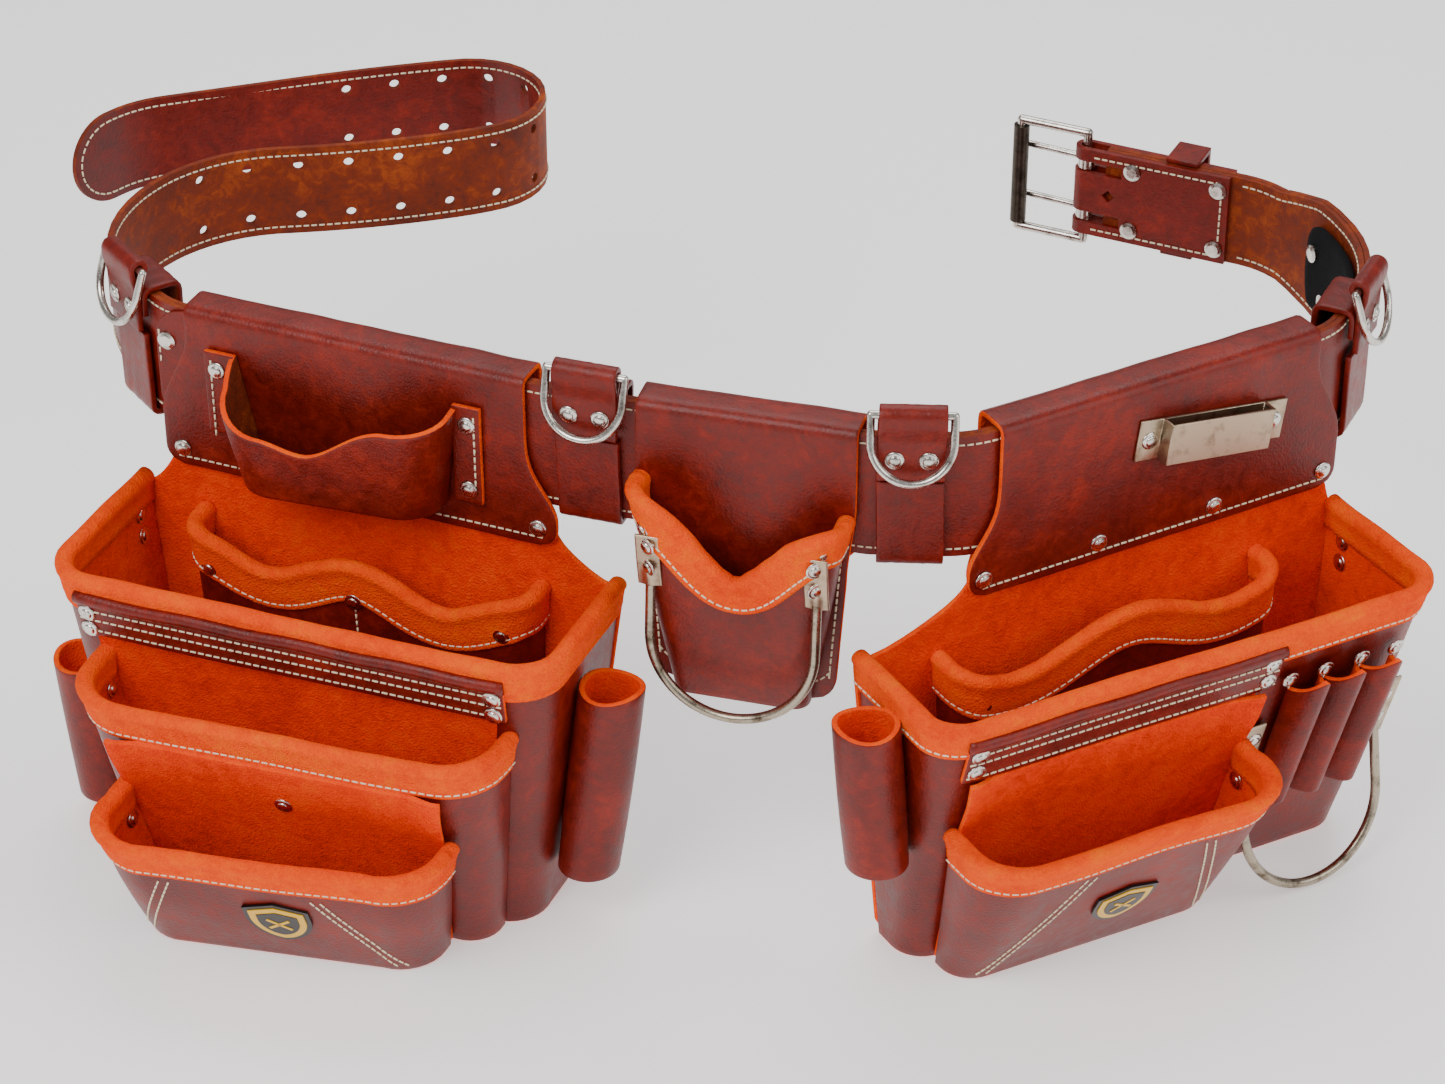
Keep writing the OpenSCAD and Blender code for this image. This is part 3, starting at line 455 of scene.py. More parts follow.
def folded(name, s, prof, edges, body, replaces=(), cols=57, ripple=0.25, seed=3, mats=(CHERRY, SPLIT, SUEDE),
           step=2.6):
    """Leather folded to a profile of (n, z), its grain side out; edges(row, n, z) gives its two ends in x."""
    prof = resample(np.asarray(prof, float), step)
    P = np.zeros((cols, len(prof), 3))
    for j, (n, z) in enumerate(prof):
        l, r = edges(j / (len(prof) - 1), n, z)
        P[:, j, 0] = np.linspace(l, r, cols)
        P[:, j, 1] = n
        P[:, j, 2] = z
    W = place(s, P)
    N = -normals_of(W)
    u, v = np.meshgrid(np.linspace(0, 1, cols), np.linspace(0, 1, len(prof)), indexing="ij")
    W = W + N * (ripple * soft_noise(u * 2, v * 3, seed))[..., None] * MM
    sheet(name, W, body, mats=mats, replaces=replaces, flip=True)


def rivets(name, s, places, body):
    """A domed head on its washer at each (point in mm, outward direction)."""
    r = 4.7
    prof = [(r, 0), (r, 0.7), (r - 0.7, 1.1), (r * 0.62, 1.15), (r * 0.56, 1.75), (r * 0.34, 2.15), (0, 2.25)]
    V, F, m = [], [], 20
    for q, d in places:
        p0 = place(s, np.array(q, float))
        w = place(s, np.array(q, float) + np.array(d, float)) - p0
        w /= np.linalg.norm(w)
        a = np.cross(w, [0, 0, 1.0])
        a /= np.linalg.norm(a)
        b = np.cross(w, a)
        k = len(V)
        for rr, hh in prof:
            V += [p0 + ((a * math.cos(t) + b * math.sin(t)) * max(rr, 0.05) + w * (hh - 0.15)) * MM
                  for t in np.linspace(0, 2 * math.pi, m + 1)[:-1]]
        for i in range(len(prof) - 1):
            F += [[k + i * m + j, k + i * m + (j + 1) % m, k + (i + 1) * m + (j + 1) % m, k + (i + 1) * m + j]
                  for j in range(m)]
        F += [[k + j for j in range(m)][::-1], [k + (len(prof) - 1) * m + j for j in range(m)]]
    o = mesh_object(name, V, F, [NICKEL], body, (name,))
    bm_fix(o)
    bv = o.modifiers.new("edge round", "BEVEL")
    bv.width, bv.segments, bv.angle_limit = 0.0002, 2, math.radians(25)


for i, s in enumerate(RINGS):
    body = frame["nodes"][f"ring_strap_{i + 1}"]["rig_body"]
    w = lambda k, n, z: (-16 + 0.5 * math.sin(z / 15), 16 + 0.4 * math.sin(z / 11 + 1))
    loop = rounded([(7.5, 252), (7.5, 204.5), (-15, 204.5), (-15, 277.9), (7.4, 277.9), (7.4, 262)])
    folded(f"ring_wrap_{i + 1}", s, loop, w, body, (f"ring_strap_{i + 1}",), cols=14, ripple=0.2, seed=50 + i,
           mats=(CHERRY, FLESH, CHERRY))
    arc = [(7.5 + 5.4 * math.cos(t), 289 + 5.4 * math.sin(t)) for t in np.linspace(math.pi, 0, 14)]
    tab = [(7.6, 280)] + arc + [(12.6, 284), (10.6, 276), (10.5, 254.5)]
    folded(f"ring_tab_{i + 1}", s, tab, w, body, cols=14, ripple=0.15, seed=60 + i, step=1.6,
           mats=(CHERRY, FLESH, CHERRY))
    rivets(f"ring_rivets_{i + 1}", s, [((d * 8, 10.6, 266.2), (0, 1, 0)) for d in (-1, 1)], body)

# ---- Bag panels ----
# One piece of leather for each bag: suede side forward below, up behind the belt, over its top and down in front as
# the cherry flap, which is sewn and riveted to the panel under the belt and so makes the bag's tunnel.
MAIN_H = 168
ON_FLAP = 7.7


def smooth(k):
    k = min(max(k, 0.0), 1.0)
    return k * k * (3 - 2 * k)


def ease(k):
    return (1 - math.cos(math.pi * min(max(k, 0), 1))) / 2


def bag_panel(name, s, base_l, base_r, top_l, top_r, inner, body):
    """A bag's folded panel; inner is the side (1 right, -1 left) towards the holder, where the flap flares lowest."""
    hem, r = 186.2, 10
    prof = rounded([(1.5, 0), (1.5, 189), (-15, 203), (-15, 278), (7.5, 278), (7.5, hem)])

    def edges(k, n, z):
        if n > 4.6 or (n > -2 and z > 270):
            a = 92 + 16 * ease((260 - z) / 60) ** 3
            b = 92 + 16 * smooth((262 - z) / 46)
            cut = r - math.sqrt(max(r * r - (r - min(z - hem, r)) ** 2, 0)) if z < hem + r else 0
            a, b = a - cut, b - cut
            return (-b, a) if inner > 0 else (-a, b)
        if z < MAIN_H:
            c = 8 * (1 - z / 8) ** 2 if z < 8 else 0
            return mix(base_l, top_l, z / MAIN_H) + c, mix(base_r, top_r, z / MAIN_H) - c
        if z < MAIN_H + 23:
            k = ((z - MAIN_H) / 23) ** 0.6
            return mix(top_l, -104, k), mix(top_r, 104, k)
        w = mix(104, 92, smooth((z - 191) / 14))
        return -w, w
    folded(name, s, prof, edges, body, (name,), cols=75, ripple=0.35, seed=abs(s))
    q = resample(np.array([(-99, hem + 5), (99, hem + 5)], float), 3)
    seam(body, place(s, [(x, ON_FLAP, z) for x, z in q]))
    for l0, l1 in ((base_l + 6, top_l + 6), (base_r - 6, top_r - 6)):
        seam(body, place(s, [(mix(l0, l1, k), 1.3, mix(5, 165, k)) for k in np.linspace(0, 1, 40)]))
    seam(body, place(s, [(x, 1.3, 5) for x in np.linspace(base_l + 6, base_r - 6, 60)]))
    seam(body, place(s, [(x, -15.2, 209) for x in np.linspace(-88, 88, 50)]))


bag_panel("left_panel", LEFT_BAG, -110, 118, -125, 141, 1, "left_bag")
bag_panel("right_panel", RIGHT_BAG, -152, 106, -169, 113, -1, "right_bag")

# ---- Left bag: inner pocket ----
# Cherry leather sewn to the back panel, its wavy rim bound in suede, split in two by a seam down the middle.
# A pocket is (left, right, back left, back right, front left, front right, corner radius), at its base and its rim.
# Pocket floors are a darker copy of the cherry leather: painted shade for the dim bottoms inside the pockets.
SHADE_PAINTED_CHERRY = leather("cherry pocket floor with painted shade", "#3a0400", "#560a00", "#7a1400", 0.6, 900, 0.3, 0.0)
# Its wall has NS points along each side, NC round each corner and NF across the front.
NS, NC, NF = 8, 8, 36


def outline(q):
    """Points round a pocket from its back left end to its back right end, with rounded front corners."""
    l, r = q[0], q[1]
    c = max(min(q[6] * 1.45, 0.8 * min(q[4] - q[2], q[5] - q[3])), 1)
    side = lambda x, a, b: [(x, mix(a, b, k / NS)) for k in range(NS)]
    turn = np.linspace(0, math.pi / 2, NC + 1)
    pts = side(l, q[2], q[4] - c)
    pts += [(l + c - c * math.cos(a), q[4] - c + c * math.sin(a)) for a in turn]
    pts += [(mix(l + c, r - c, k / NF), mix(q[4], q[5], k / NF)) for k in range(1, NF)]
    pts += [(r - c + c * math.sin(a), q[5] - c + c * math.cos(a)) for a in turn]
    pts += side(r, q[3], q[5] - c)[::-1]
    return np.array(pts)


class Pocket:
    """A pocket's soft wall, from its outlines at base and rim; belly and soft are its swell and unevenness in mm."""

    def __init__(self, low, high, h, z0=0.0, dip=0, belly=0.0, seed=1, soft=1.0):
        self.low, self.high, self.h, self.z0 = np.array(low, float), np.array(high, float), h, z0
        self.dip, self.belly, self.seed, self.soft = dip, belly, seed, soft
        self.u = np.linspace(0, 1, len(outline(self.low)))

    def at(self, v, out=0.0):
        """Points round the pocket at height fraction v, moved out by out mm; dip lowers its rim."""
        a, b = outline(self.low), outline(self.high)
        dip = np.array([self.dip(x) for x in b[:, 0]]) if callable(self.dip) else self.dip
        zt = self.h - dip
        k = np.broadcast_to((v * zt) / self.h, len(a))[:, None]
        p = a + (b - a) * k
        t = np.gradient(p, axis=0)
        n = np.stack([-t[:, 1], t[:, 0]], 1)
        n /= np.linalg.norm(n, axis=1, keepdims=True)
        edge = np.sin(math.pi * np.clip(self.u, 0, 1)) ** 0.5
        swell = self.belly * np.sin(math.pi * min(max(v, 0), 1)) * edge
        swell = swell + self.soft * soft_noise(self.u, v, self.seed) * edge * max(v, 0) ** 0.7 * (1 - 0.6 * v)
        p = p + n * (out + swell)[:, None]
        z = self.z0 + v * zt + 1.3 * soft_noise(self.u, 0.3, self.seed + 5) * edge * max(v, 0) ** 3
        return np.concatenate([p, np.broadcast_to(z, len(p))[:, None]], 1)

    def front_n(self, x, z):
        """How far out the front stands at x and z."""
        p = self.at((z - self.z0) / self.h)
        i = slice(NS + 1, NS + 2 * NC + NF)
        return float(np.interp(x, p[i, 0], p[i, 1]))


def pocket(name, pk, s, body, mats=(CHERRY, SPLIT, SUEDE), front=None, rows=26):
    """A stitched leather pocket with its base; its outer face is suede between the two x of front."""
    vs = np.linspace(0, 1, rows)
    P = np.stack([place(s, pk.at(v)) for v in vs], 1)
    col = None
    if front is not None:
        K = len(pk.u) - 1
        x = pk.at(0.9)[:, 0]

        def col(u, v):
            on_front = NS + NC <= u * K < NS + NC + NF
            return 1 if on_front and front[0] < x[min(int(round(u * K)), K)] < front[1] else 0
    sheet(name, P, body, mats=mats, replaces=(name,), colour=col)
    base = pk.at(0, -1.5)
    ring = [tuple(p) for p in place(s, base + [0, 0, 1.5])] + [tuple(p) for p in place(s, base + [0, 0, 4])]
    k = len(base)
    faces = [list(range(k))[::-1], list(range(k, 2 * k))]
    faces += [[i, (i + 1) % k, (i + 1) % k + k, i + k] for i in range(k)]
    # The base takes the darker cherry, which is painted shade inside the pocket.
    mesh_object(name + "_base", ring, faces, [SHADE_PAINTED_CHERRY], body, smooth=False)


def along(C, out):
    """The outward and upward directions square to a line of points."""
    T = np.gradient(C, axis=0)
    T /= np.linalg.norm(T, axis=1, keepdims=True)
    out = out - T * (out * T).sum(1, keepdims=True)
    out /= np.linalg.norm(out, axis=1, keepdims=True)
    up = np.cross(out, T)
    return out, up * np.sign(up[:, 2:3] + 1e-9)


def sweep(name, C, section, out, body, mats, replaces=()):
    """Sweeps a closed section of (outwards, upwards) mm along world points C, with out as each point's outward side."""
    C = np.asarray(C)
    out, up = along(C, np.asarray(out))
    S = np.asarray(section(np.linspace(0, 1, len(C))) if callable(section) else np.tile(section, (len(C), 1, 1)))
    V = C[:, None] + (S[..., :1] * out[:, None] + S[..., 1:] * up[:, None]) * MM
    a, b = V.shape[:2]
    idx = np.arange(a * b).reshape(a, b)
    faces = [[int(idx[i, j]), int(idx[i + 1, j]), int(idx[i + 1, (j + 1) % b]), int(idx[i, (j + 1) % b])]
             for i in range(a - 1) for j in range(b)]
    faces += [[int(v) for v in idx[0]], [int(v) for v in idx[-1, ::-1]]]
    o = mesh_object(name, V.reshape(-1, 3), faces, mats, body, replaces)
    bm_fix(o)
    return o


# Suede binding: a padded roll along the rim with a band folded down outside and inside the wall.
def binding(name, pk, s, body, band=13, stitch=True):
    roll, inner = 8.8, 9
    top = pk.at(1.0, -1.5)
    C = place(s, top)
    t = np.gradient(top[:, :2], axis=0)
    n = np.stack([-t[:, 1], t[:, 0]], 1)
    n /= np.linalg.norm(n, axis=1, keepdims=True)
    lean = ((outline(pk.high) - outline(pk.low)) * n).sum(1) / pk.h
    out = place(s, np.concatenate([n, 0 * n[:, :1]], 1)) - place(s, np.zeros((len(n), 3)))
    r = roll / 2

    def sec(w):
        wob = 0.25 * np.sin(w * 37 + pk.seed) + 0.2 * np.sin(w * 83 + 2 * pk.seed)
        res = []
        for d, k in zip(wob, lean):
            q = [(2.0, -band), (3.1, -band + 0.5), (3.3, -band + 2.4), (2.9, -band + 3.2)]
            q += [(3.3, -band + 4), (3.7, -band * 0.45), (3.6, -1.5)]
            q += [(r * 1.05 * math.cos(a) + d * 0.3, r + 0.3 + r * 1.02 * math.sin(a) + d)
                  for a in np.linspace(-0.55, math.pi + 0.55, 13)]
            q += [(-3.2, -1.5), (-3.0, -inner * 0.6), (-2.8, -inner), (-1.6, -inner)]
            res.append([(o + k * y, y) for o, y in q])
        return np.array(res)
    sweep(name, C, sec, out, body, [SUEDE], (name,))
    if stitch:
        ow, uw = along(C, out)
        y = -band + 3.2
        seam(body, C + (ow * (3.15 + lean * y)[:, None] + uw * y) * MM)


def bound(name, pk, s, body, front=None, rows=26, **edge):
    """A pocket with its rim bound in suede."""
    pocket(name + "_pocket", pk, s, body, front=front, rows=rows)
    binding(name + "_rim", pk, s, body, **edge)


def front_seam(pk, s, body, pts, out=0.2):
    """Stitches across a pocket's front through (x, z) points."""
    q = resample(np.array(pts, float), 3.0)
    seam(body, place(s, [(x, pk.front_n(x, z) + out, z) for x, z in q]))


def mixq(a, b, k):
    return [mix(x, y, k) for x, y in zip(a, b)]


LI = ([-86, 96, 4.8, 4.8, 18, 18, 8], [-90, 100, 4.8, 4.8, 30, 28, 10], 134)
L_INNER = Pocket(LI[0], mixq(LI[0], LI[1], 126 / 134), 126, 30,
                 dip=lambda x: 8 - 8 * math.cos(2 * math.pi * (x - 5) / 95), seed=12, soft=0.5)
bound("left_inner", L_INNER, LEFT_BAG, "left_bag", band=15)
front_seam(L_INNER, LEFT_BAG, "left_bag", [(5, 34), (5, 136)])

# ---- Left bag: main nail pocket ----
# The deepest pocket: suede front, cherry gussets at its ends, and a padded suede rim. A cherry strip lies under the
# rim, its top edge rolled over a cord, sewn in three rows and riveted at its ends.
LM = ([-110, 118, 4.8, 4.8, 80, 71, 14], [-124, 140, 4.8, 4.8, 104, 95, 16], MAIN_H)
lm_at = lambda z: mixq(LM[0], LM[1], z / MAIN_H)
L_MAIN = Pocket(*LM, belly=1.0, seed=11, soft=1.2)
bound("left_main", L_MAIN, LEFT_BAG, "left_bag", front=(-104, 112), rows=40, band=13, stitch=False)


def on_front(name, pk, s, x0, x1, z0, z1, body, replaces, out, mats=(CHERRY, SPLIT, SUEDE), lift=None, step=3.0,
             pinch=(0, 0)):
    """A plate of leather on a pocket's front; lift(x, z) raises parts of it, and pinch narrows its foot."""
    cols, rows = int((x1 - x0) / step) + 2, max(3, int((z1 - z0) / step) + 2)
    P = np.zeros((cols, rows, 3))
    for i, x in enumerate(np.linspace(x0, x1, cols)):
        for j, z in enumerate(np.linspace(z0, z1, rows)):
            u = (x - x0) / (x1 - x0)
            xx = x + (pinch[0] * (1 - u) - pinch[1] * u) * (1 - (z - z0) / (z1 - z0))
            P[i, j] = (xx, pk.front_n(xx, z) + out + (lift(x, z) if lift else 0), z)
    sheet(name, place(s, P), body, mats=mats, replaces=replaces)


def round_section(d, n=14):
    return [(d / 2 * math.cos(2 * math.pi * k / n), d / 2 * math.sin(2 * math.pi * k / n)) for k in range(n)]


def strip(name, pk, s, body, x0, x1, z0, z1):
    on_front(name, pk, s, x0, x1, z0, z1, body, (name,), out=3.6)
    C = place(s, [(x, pk.front_n(x, z1) + 2.2, z1 + 1.5 + 0.4 * math.sin(x / 9)) for x in np.linspace(x0, x1, 60)])
    out = place(s, [(0, 1, 0)] * 60) - place(s, [(0, 0, 0)] * 60)
    sweep(name + "_roll", C, round_section(7.6), out, body, [CHERRY])
    for z in (z1 - 4.5, z1 - 10, z0 + 3.5):
        front_seam(pk, s, body, [(x0 + 3, z), (x1 - 3, z)], 3.8)


strip("left_strip", L_MAIN, LEFT_BAG, "left_bag", -106, 120, 143, 163)

# ---- Left bag: middle and front pockets ----
# Two smaller nail pockets sewn one on the other, each bound in suede. The front one has a suede back that stands up
# to the middle rim with curling corners, and a double row of stitches up each lower corner.


def face(q, x):
    """How far out an outline's front is at x."""
    return mix(q[4], q[5], (x - q[0] - q[6]) / (q[1] - q[0] - 2 * q[6]))


def behind(q, p):
    """Outline q with its back ends seated on the front of outline p."""
    return [q[0], q[1], face(p, q[0]) + 0.3, face(p, q[1]) + 0.3] + list(q[4:])


def forward(q, d):
    """Outline q with its front moved d mm out."""
    return list(q[:4]) + [q[4] + d, q[5] + d, q[6]]


LC = (behind([-86, 104, 0, 0, 104, 92, 16], lm_at(0)), behind([-96, 120, 0, 0, 142, 129, 20], lm_at(126)), 126)
lc_at = lambda z: mixq(LC[0], LC[1], z / LC[2])
LF = (behind([-66, 86, 0, 0, 146, 126, 16], forward(lc_at(0), 4)),
      behind([-72, 100, 0, 0, 178, 157, 20], forward(lc_at(74), 4)), 74)
L_MID = Pocket(*LC, belly=1.0, seed=13, soft=1.2)
L_FRONT = Pocket(*LF, belly=2.2, seed=14, soft=1.4)
bound("left_middle", L_MID, LEFT_BAG, "left_bag", rows=32)


def ears(x0, x1, zt):
    """The lift of two upper corners that curl forwards."""
    size, up = 20, 4

    def lift(x, z):
        e = max(smooth(1 - (x - x0) / size), smooth(1 - (x1 - x) / size))
        return up * e * smooth((z - zt + 34) / 34)
    return lift


on_front("left_front_back", L_MID, LEFT_BAG, -73, 101, 2, 113, "left_bag", ("left_front_back",), out=3.9,
         mats=(SPLIT, SPLIT, SUEDE), lift=ears(-73, 101, 106), pinch=(6, 15))
bound("left_front", L_FRONT, LEFT_BAG, "left_bag", rows=24)
for d in (0, 5):
    front_seam(L_FRONT, LEFT_BAG, "left_bag", [(-58 + d, 6), (-34 + d, 56)])
    front_seam(L_FRONT, LEFT_BAG, "left_bag", [(76 - d, 6), (48 - d, 56)])

# ---- Tool sleeves ----
# Open leather tubes for pencils and punches, two on the left bag and one on the right, slightly flared and sewn
# along their backs to the gussets.
SLEEVE = (31, 32.5)


def sleeve(name, a, b, s, body):
    """A sleeve between two points of a bag's frame, pressed a little flat half-way up."""
    a, b = np.array(a, float), np.array(b, float)
    vs, us = np.linspace(0, 1, 24), np.linspace(0, 2 * math.pi, 49)
    P = np.zeros((len(us), len(vs), 3))
    for j, v in enumerate(vs):
        c = mix(a, b, v)
        d = mix(*SLEEVE, v) / 2
        sq = 1 + 0.06 * math.sin(v * 3.1)
        P[:, j, 0] = c[0] + d * sq * np.cos(us)
        P[:, j, 1] = c[1] + d / sq * np.sin(us)
        P[:, j, 2] = c[2] + 1.2 * np.sin(us * 2 + 1) * v
    sheet(name, place(s, P), body, replaces=(name,), wrap=True, flip=True)


# The right bag's main pocket leans forward more than the left one's.
RM = ([-152, 106, 4.8, 4.8, 34, 43, 12], [-168, 112, 4.8, 4.8, 82, 92, 14], MAIN_H)
rm_at = lambda z: mixq(RM[0], RM[1], z / MAIN_H)
for name, at, side, n, z0, z1, s, body in (
        ("left_outer_tube", lm_at, 0, 60, 12, 92.6, LEFT_BAG, "left_bag"),
        ("left_inner_tube", lm_at, 1, 46, 30, 142, LEFT_BAG, "left_bag"),
        ("right_tool_tube", rm_at, 0, 40, 78, 162, RIGHT_BAG, "right_bag")):
    off = 17 if side else -17
    sleeve(name, (at(z0)[side] + off, n, z0), (at(z1)[side] + off, n, z1), s, body)

# ---- Tape pouch ----
# A wide strap of leather bowed out from the left flap, its mouth dipping in the middle, held by a riveted and
# stitched tab at each end.
K = NS + NC + 1
tall = [mix(57, 34, smooth(k / K)) for k in range(K)] + [mix(34, 30, smooth(k / 12)) for k in range(12)] \
    + [mix(30, 52, smooth(k / (NF - 13))) for k in range(NF - 13)] + [mix(52, 56, k / (K - 1)) for k in range(K)]
POUCH = Pocket([-54, 50, 7.8, 7.8, 40, 34, 14], [-66, 58, 7.8, 7.8, 47, 43, 16], 58, 200.2, dip=58 - np.array(tall),
               seed=21, soft=1.0)
pocket("left_tape_pouch", POUCH, LEFT_BAG, "left_bag", (CHERRY, FLESH, SUEDE), rows=20)
for k, (x0, x1) in enumerate(((-80, -63), (55, 70))):
    P = np.array([[(x, 10.9 + 0.2 * math.sin(z / 9), z) for z in np.linspace(204 if x0 > 0 else 212, 258, 22)]
                  for x in np.linspace(x0, x1, 8)])
    sheet(f"left_pouch_tab_{k + 1}", place(LEFT_BAG, P), "left_bag", mats=(CHERRY, FLESH, SUEDE))
    seam("left_bag", place(LEFT_BAG, [((x0 + 4 if x0 < 0 else x1 - 3), 11.3, z) for z in np.linspace(212, 252, 16)]))

# ---- Left bag: rivets ----
# Capped nickel rivets, hammered through the leather onto washers: on the flap's hem, the tape pouch's tabs, the
# strip's ends, and inside the pockets where their back ends are fixed.


def on_face(pk, x, z, out=0.0):
    """A rivet's place on a pocket's front, with the front's own lean."""
    slope_x = (pk.front_n(x + 4, z) - pk.front_n(x - 4, z)) / 8
    slope_z = (pk.front_n(x, z + 4) - pk.front_n(x, z - 4)) / 8
    return (x, pk.front_n(x, z) + out, z), (-slope_x, 1, -slope_z)


def on_side(pk, side, z, d):
    """A rivet's place inside a pocket, on its left or right wall, d mm forward of the back."""
    p = pk.at((z - pk.z0) / pk.h)[0 if side < 0 else -1]
    return (p[0] - side * 3.2, p[1] + d, z), (-side, 0, 0.1)


rivets("left_rivets", LEFT_BAG,
       [((x, ON_FLAP, 196), (0, 1, 0)) for x in (-98, 98)]
       + [((x, 11.0, z), (0, 1, 0)) for x, z in ((-73, 248.2), (63, 248.2), (63, 212))]
       + [on_face(L_INNER, x, 142, 1.5) for x in (-76, 5, 86)]
       + [on_face(L_MAIN, x, z, 3.6) for x in (-100, 114) for z in (157, 147)]
       + [on_side(pk, e, z, 8) for pk, z in ((L_FRONT, 60), (L_MID, 112)) for e in (-1, 1)]
       + [on_face(L_MID, 15, 88, 3.9)]
       + [on_side(L_MAIN, e, z, 14) for e in (-1, 1) for z in (157, 145)],
       "left_bag")

# ---- Right bag: pockets ----
# A wavy inner pocket, a main nail pocket with its rolled strip, and a front pocket with a suede back. To the right
# of the front pocket the main pocket's face is cherry.
RI = ([-118, 60, 4.8, 4.8, 18, 18, 8], [-124, 66, 4.8, 4.8, 32, 28, 10], 138)
RF = (behind([-140, 8, 0, 0, 60, 66, 14], forward(rm_at(0), 4)),
      behind([-152, 12, 0, 0, 109, 116, 18], forward(rm_at(96), 4)), 96)
R_MAIN = Pocket(*RM, belly=1.0, seed=31, soft=1.2)
R_INNER = Pocket(*RI, 24, dip=lambda x: 10 - 8 * math.cos(2 * math.pi * (x + 30) / 125), seed=32, soft=0.5)
R_FRONT = Pocket(*RF, belly=2.2, seed=33, soft=1.4)

bound("right_inner", R_INNER, RIGHT_BAG, "right_bag", band=15)
bound("right_main", R_MAIN, RIGHT_BAG, "right_bag", front=(-146, 12), rows=40)
strip("right_strip", R_MAIN, RIGHT_BAG, "right_bag", -154, 20, 139, 162)
on_front("right_front_back", R_MAIN, RIGHT_BAG, -151, 13, 2, 138, "right_bag", ("right_front_back",), out=3.9,
         mats=(SPLIT, SPLIT, SUEDE), lift=ears(-151, 13, 128), pinch=(12, 6))
on_front("right_face", R_MAIN, RIGHT_BAG, 14, 96, 1, 160, "right_bag", (), out=0.5, step=4)
bound("right_front", R_FRONT, RIGHT_BAG, "right_bag", rows=28)
for d in (0, 5):
    front_seam(R_FRONT, RIGHT_BAG, "right_bag", [(-130 + d, 6), (-98 + d, 78)])
    front_seam(R_FRONT, RIGHT_BAG, "right_bag", [(-2 - d, 6), (-26 - d, 78)])

# ---- Right bag: tool slots and rivets ----
# A cherry panel sewn to the main pocket's face in four lines, so that it stands off in three narrow sleeves. A
# rivet tops each line; the bag's other rivets are of the same kind.
X = np.linspace(27, 90, 61)
P = np.zeros((61, 34, 3))
for j, v in enumerate(np.linspace(0, 1, 34)):
    for i, x in enumerate(X):
        a = (x - 27) / 21
        hump = abs(math.sin(math.pi * a)) ** 0.8
        z = 56 + v * (90 - 5 + 5 * math.cos(2 * math.pi * a + math.pi))
        P[i, j] = (x, R_MAIN.front_n(x, min(z, 150)) + 4.2 + 15 * hump * (0.85 + 0.15 * v), z)
sheet("right_tool_slots", place(RIGHT_BAG, P), "right_bag", replaces=("right_tool_slots",))
for x in (27.8, 48, 69, 89.2):
    front_seam(R_MAIN, RIGHT_BAG, "right_bag", [(x, 58), (x, 142)], 4.5)
rivets("right_rivets", RIGHT_BAG,
       [((x, ON_FLAP, 196), (0, 1, 0)) for x in (-100, -34, 34, 100)]
       + [((28 + d * math.cos(math.radians(8)), 9.2, 242 - d * math.sin(math.radians(8))), (0, 1, 0))
          for d in (-37, 37)]
       + [on_face(R_MAIN, x, z, 3.6) for x in (-148, 14) for z in (157, 146)]
       + [on_side(R_FRONT, e, 82, 8) for e in (-1, 1)]
       + [on_face(R_MAIN, 58.5 + d * 41, z, 4.0) for d in (-1, 1) for z in (86, 102)]
       + [on_face(R_MAIN, x, 142, 4.0) for x in (27.8, 48, 69, 89.2)]
       + [on_face(R_INNER, -110, 140, 1.5)]
       + [on_side(R_MAIN, e, z, 14) for e in (-1, 1) for z in (157, 145)],
       "right_bag")

# ---- Hammer holder ----
# A narrow cherry panel folded over the belt, with a pocket whose V-shaped mouth is bound in suede and sewn to the
# panel along both sides and round its foot.
HOLDER = 0
prof = rounded([(1.5, 146), (1.5, 189), (-15, 203), (-15, 278), (7.5, 278), (7.5, 122)])


def holder_edges(k, n, z):
    """The holder's two edges: widest over the belt, narrowing to a foot with rounded corners."""
    if n > 4.6 or (n > -2 and z > 270):
        if z > 192:
            w = mix(50, 54, smooth((z - 192) / 46))
        else:
            w = mix(46, 50, max(z - 134, 0) / 58)
        cut = 14 - math.sqrt(max(196 - (14 - min(z - 122, 14)) ** 2, 0)) if z < 136 else 0
        return -w + cut, w - cut
    w = mix(40, 54, smooth((z - 189) / 16))
    return -w, w


folded("holder_panel", HOLDER, prof, holder_edges, "hammer_holder", ("holder_panel",), cols=45, seed=41)
v_dip = lambda x: 40 * (0.5 + 0.5 * math.cos(math.pi * x / 48)) + (8 * x / 50 if x > 0 else 0)
HQ = ([-34, 34, 7.8, 7.8, 18, 18, 8], [-52, 52, 7.8, 7.8, 34, 34, 12])
H_POCKET = Pocket(HQ[0], HQ[1], 110, 122, dip=v_dip, belly=1.5, seed=42, soft=0.7)
bound("holder", H_POCKET, HOLDER, "hammer_holder", rows=28, band=12)
for sx in (-1, 1):
    seam("hammer_holder", place(HOLDER, [(sx * (mix(46, 52.6, (z - 134) / 100) - 3.5), ON_FLAP, z)
                                         for z in np.linspace(138, 226, 40)]))
seam("hammer_holder", place(HOLDER, [(44 * math.sin(t), ON_FLAP, 144 - 18 * math.cos(t))
                                     for t in np.linspace(-1.3, 1.3, 44)]))

# ---- Hammer loops ----
# A steel rod bent to a U, one on the holder and one beside the right bag's tool slots; each leg is trapped under a
# small steel tab with two rivets.
CLIP = metal("brushed nickel clip", "#b8a48c", 0.28, True, dirt="#8c7a64")
ROD = metal("tarnished nickel rod", "#a89c8a", 0.24, dirt="#5c5040")


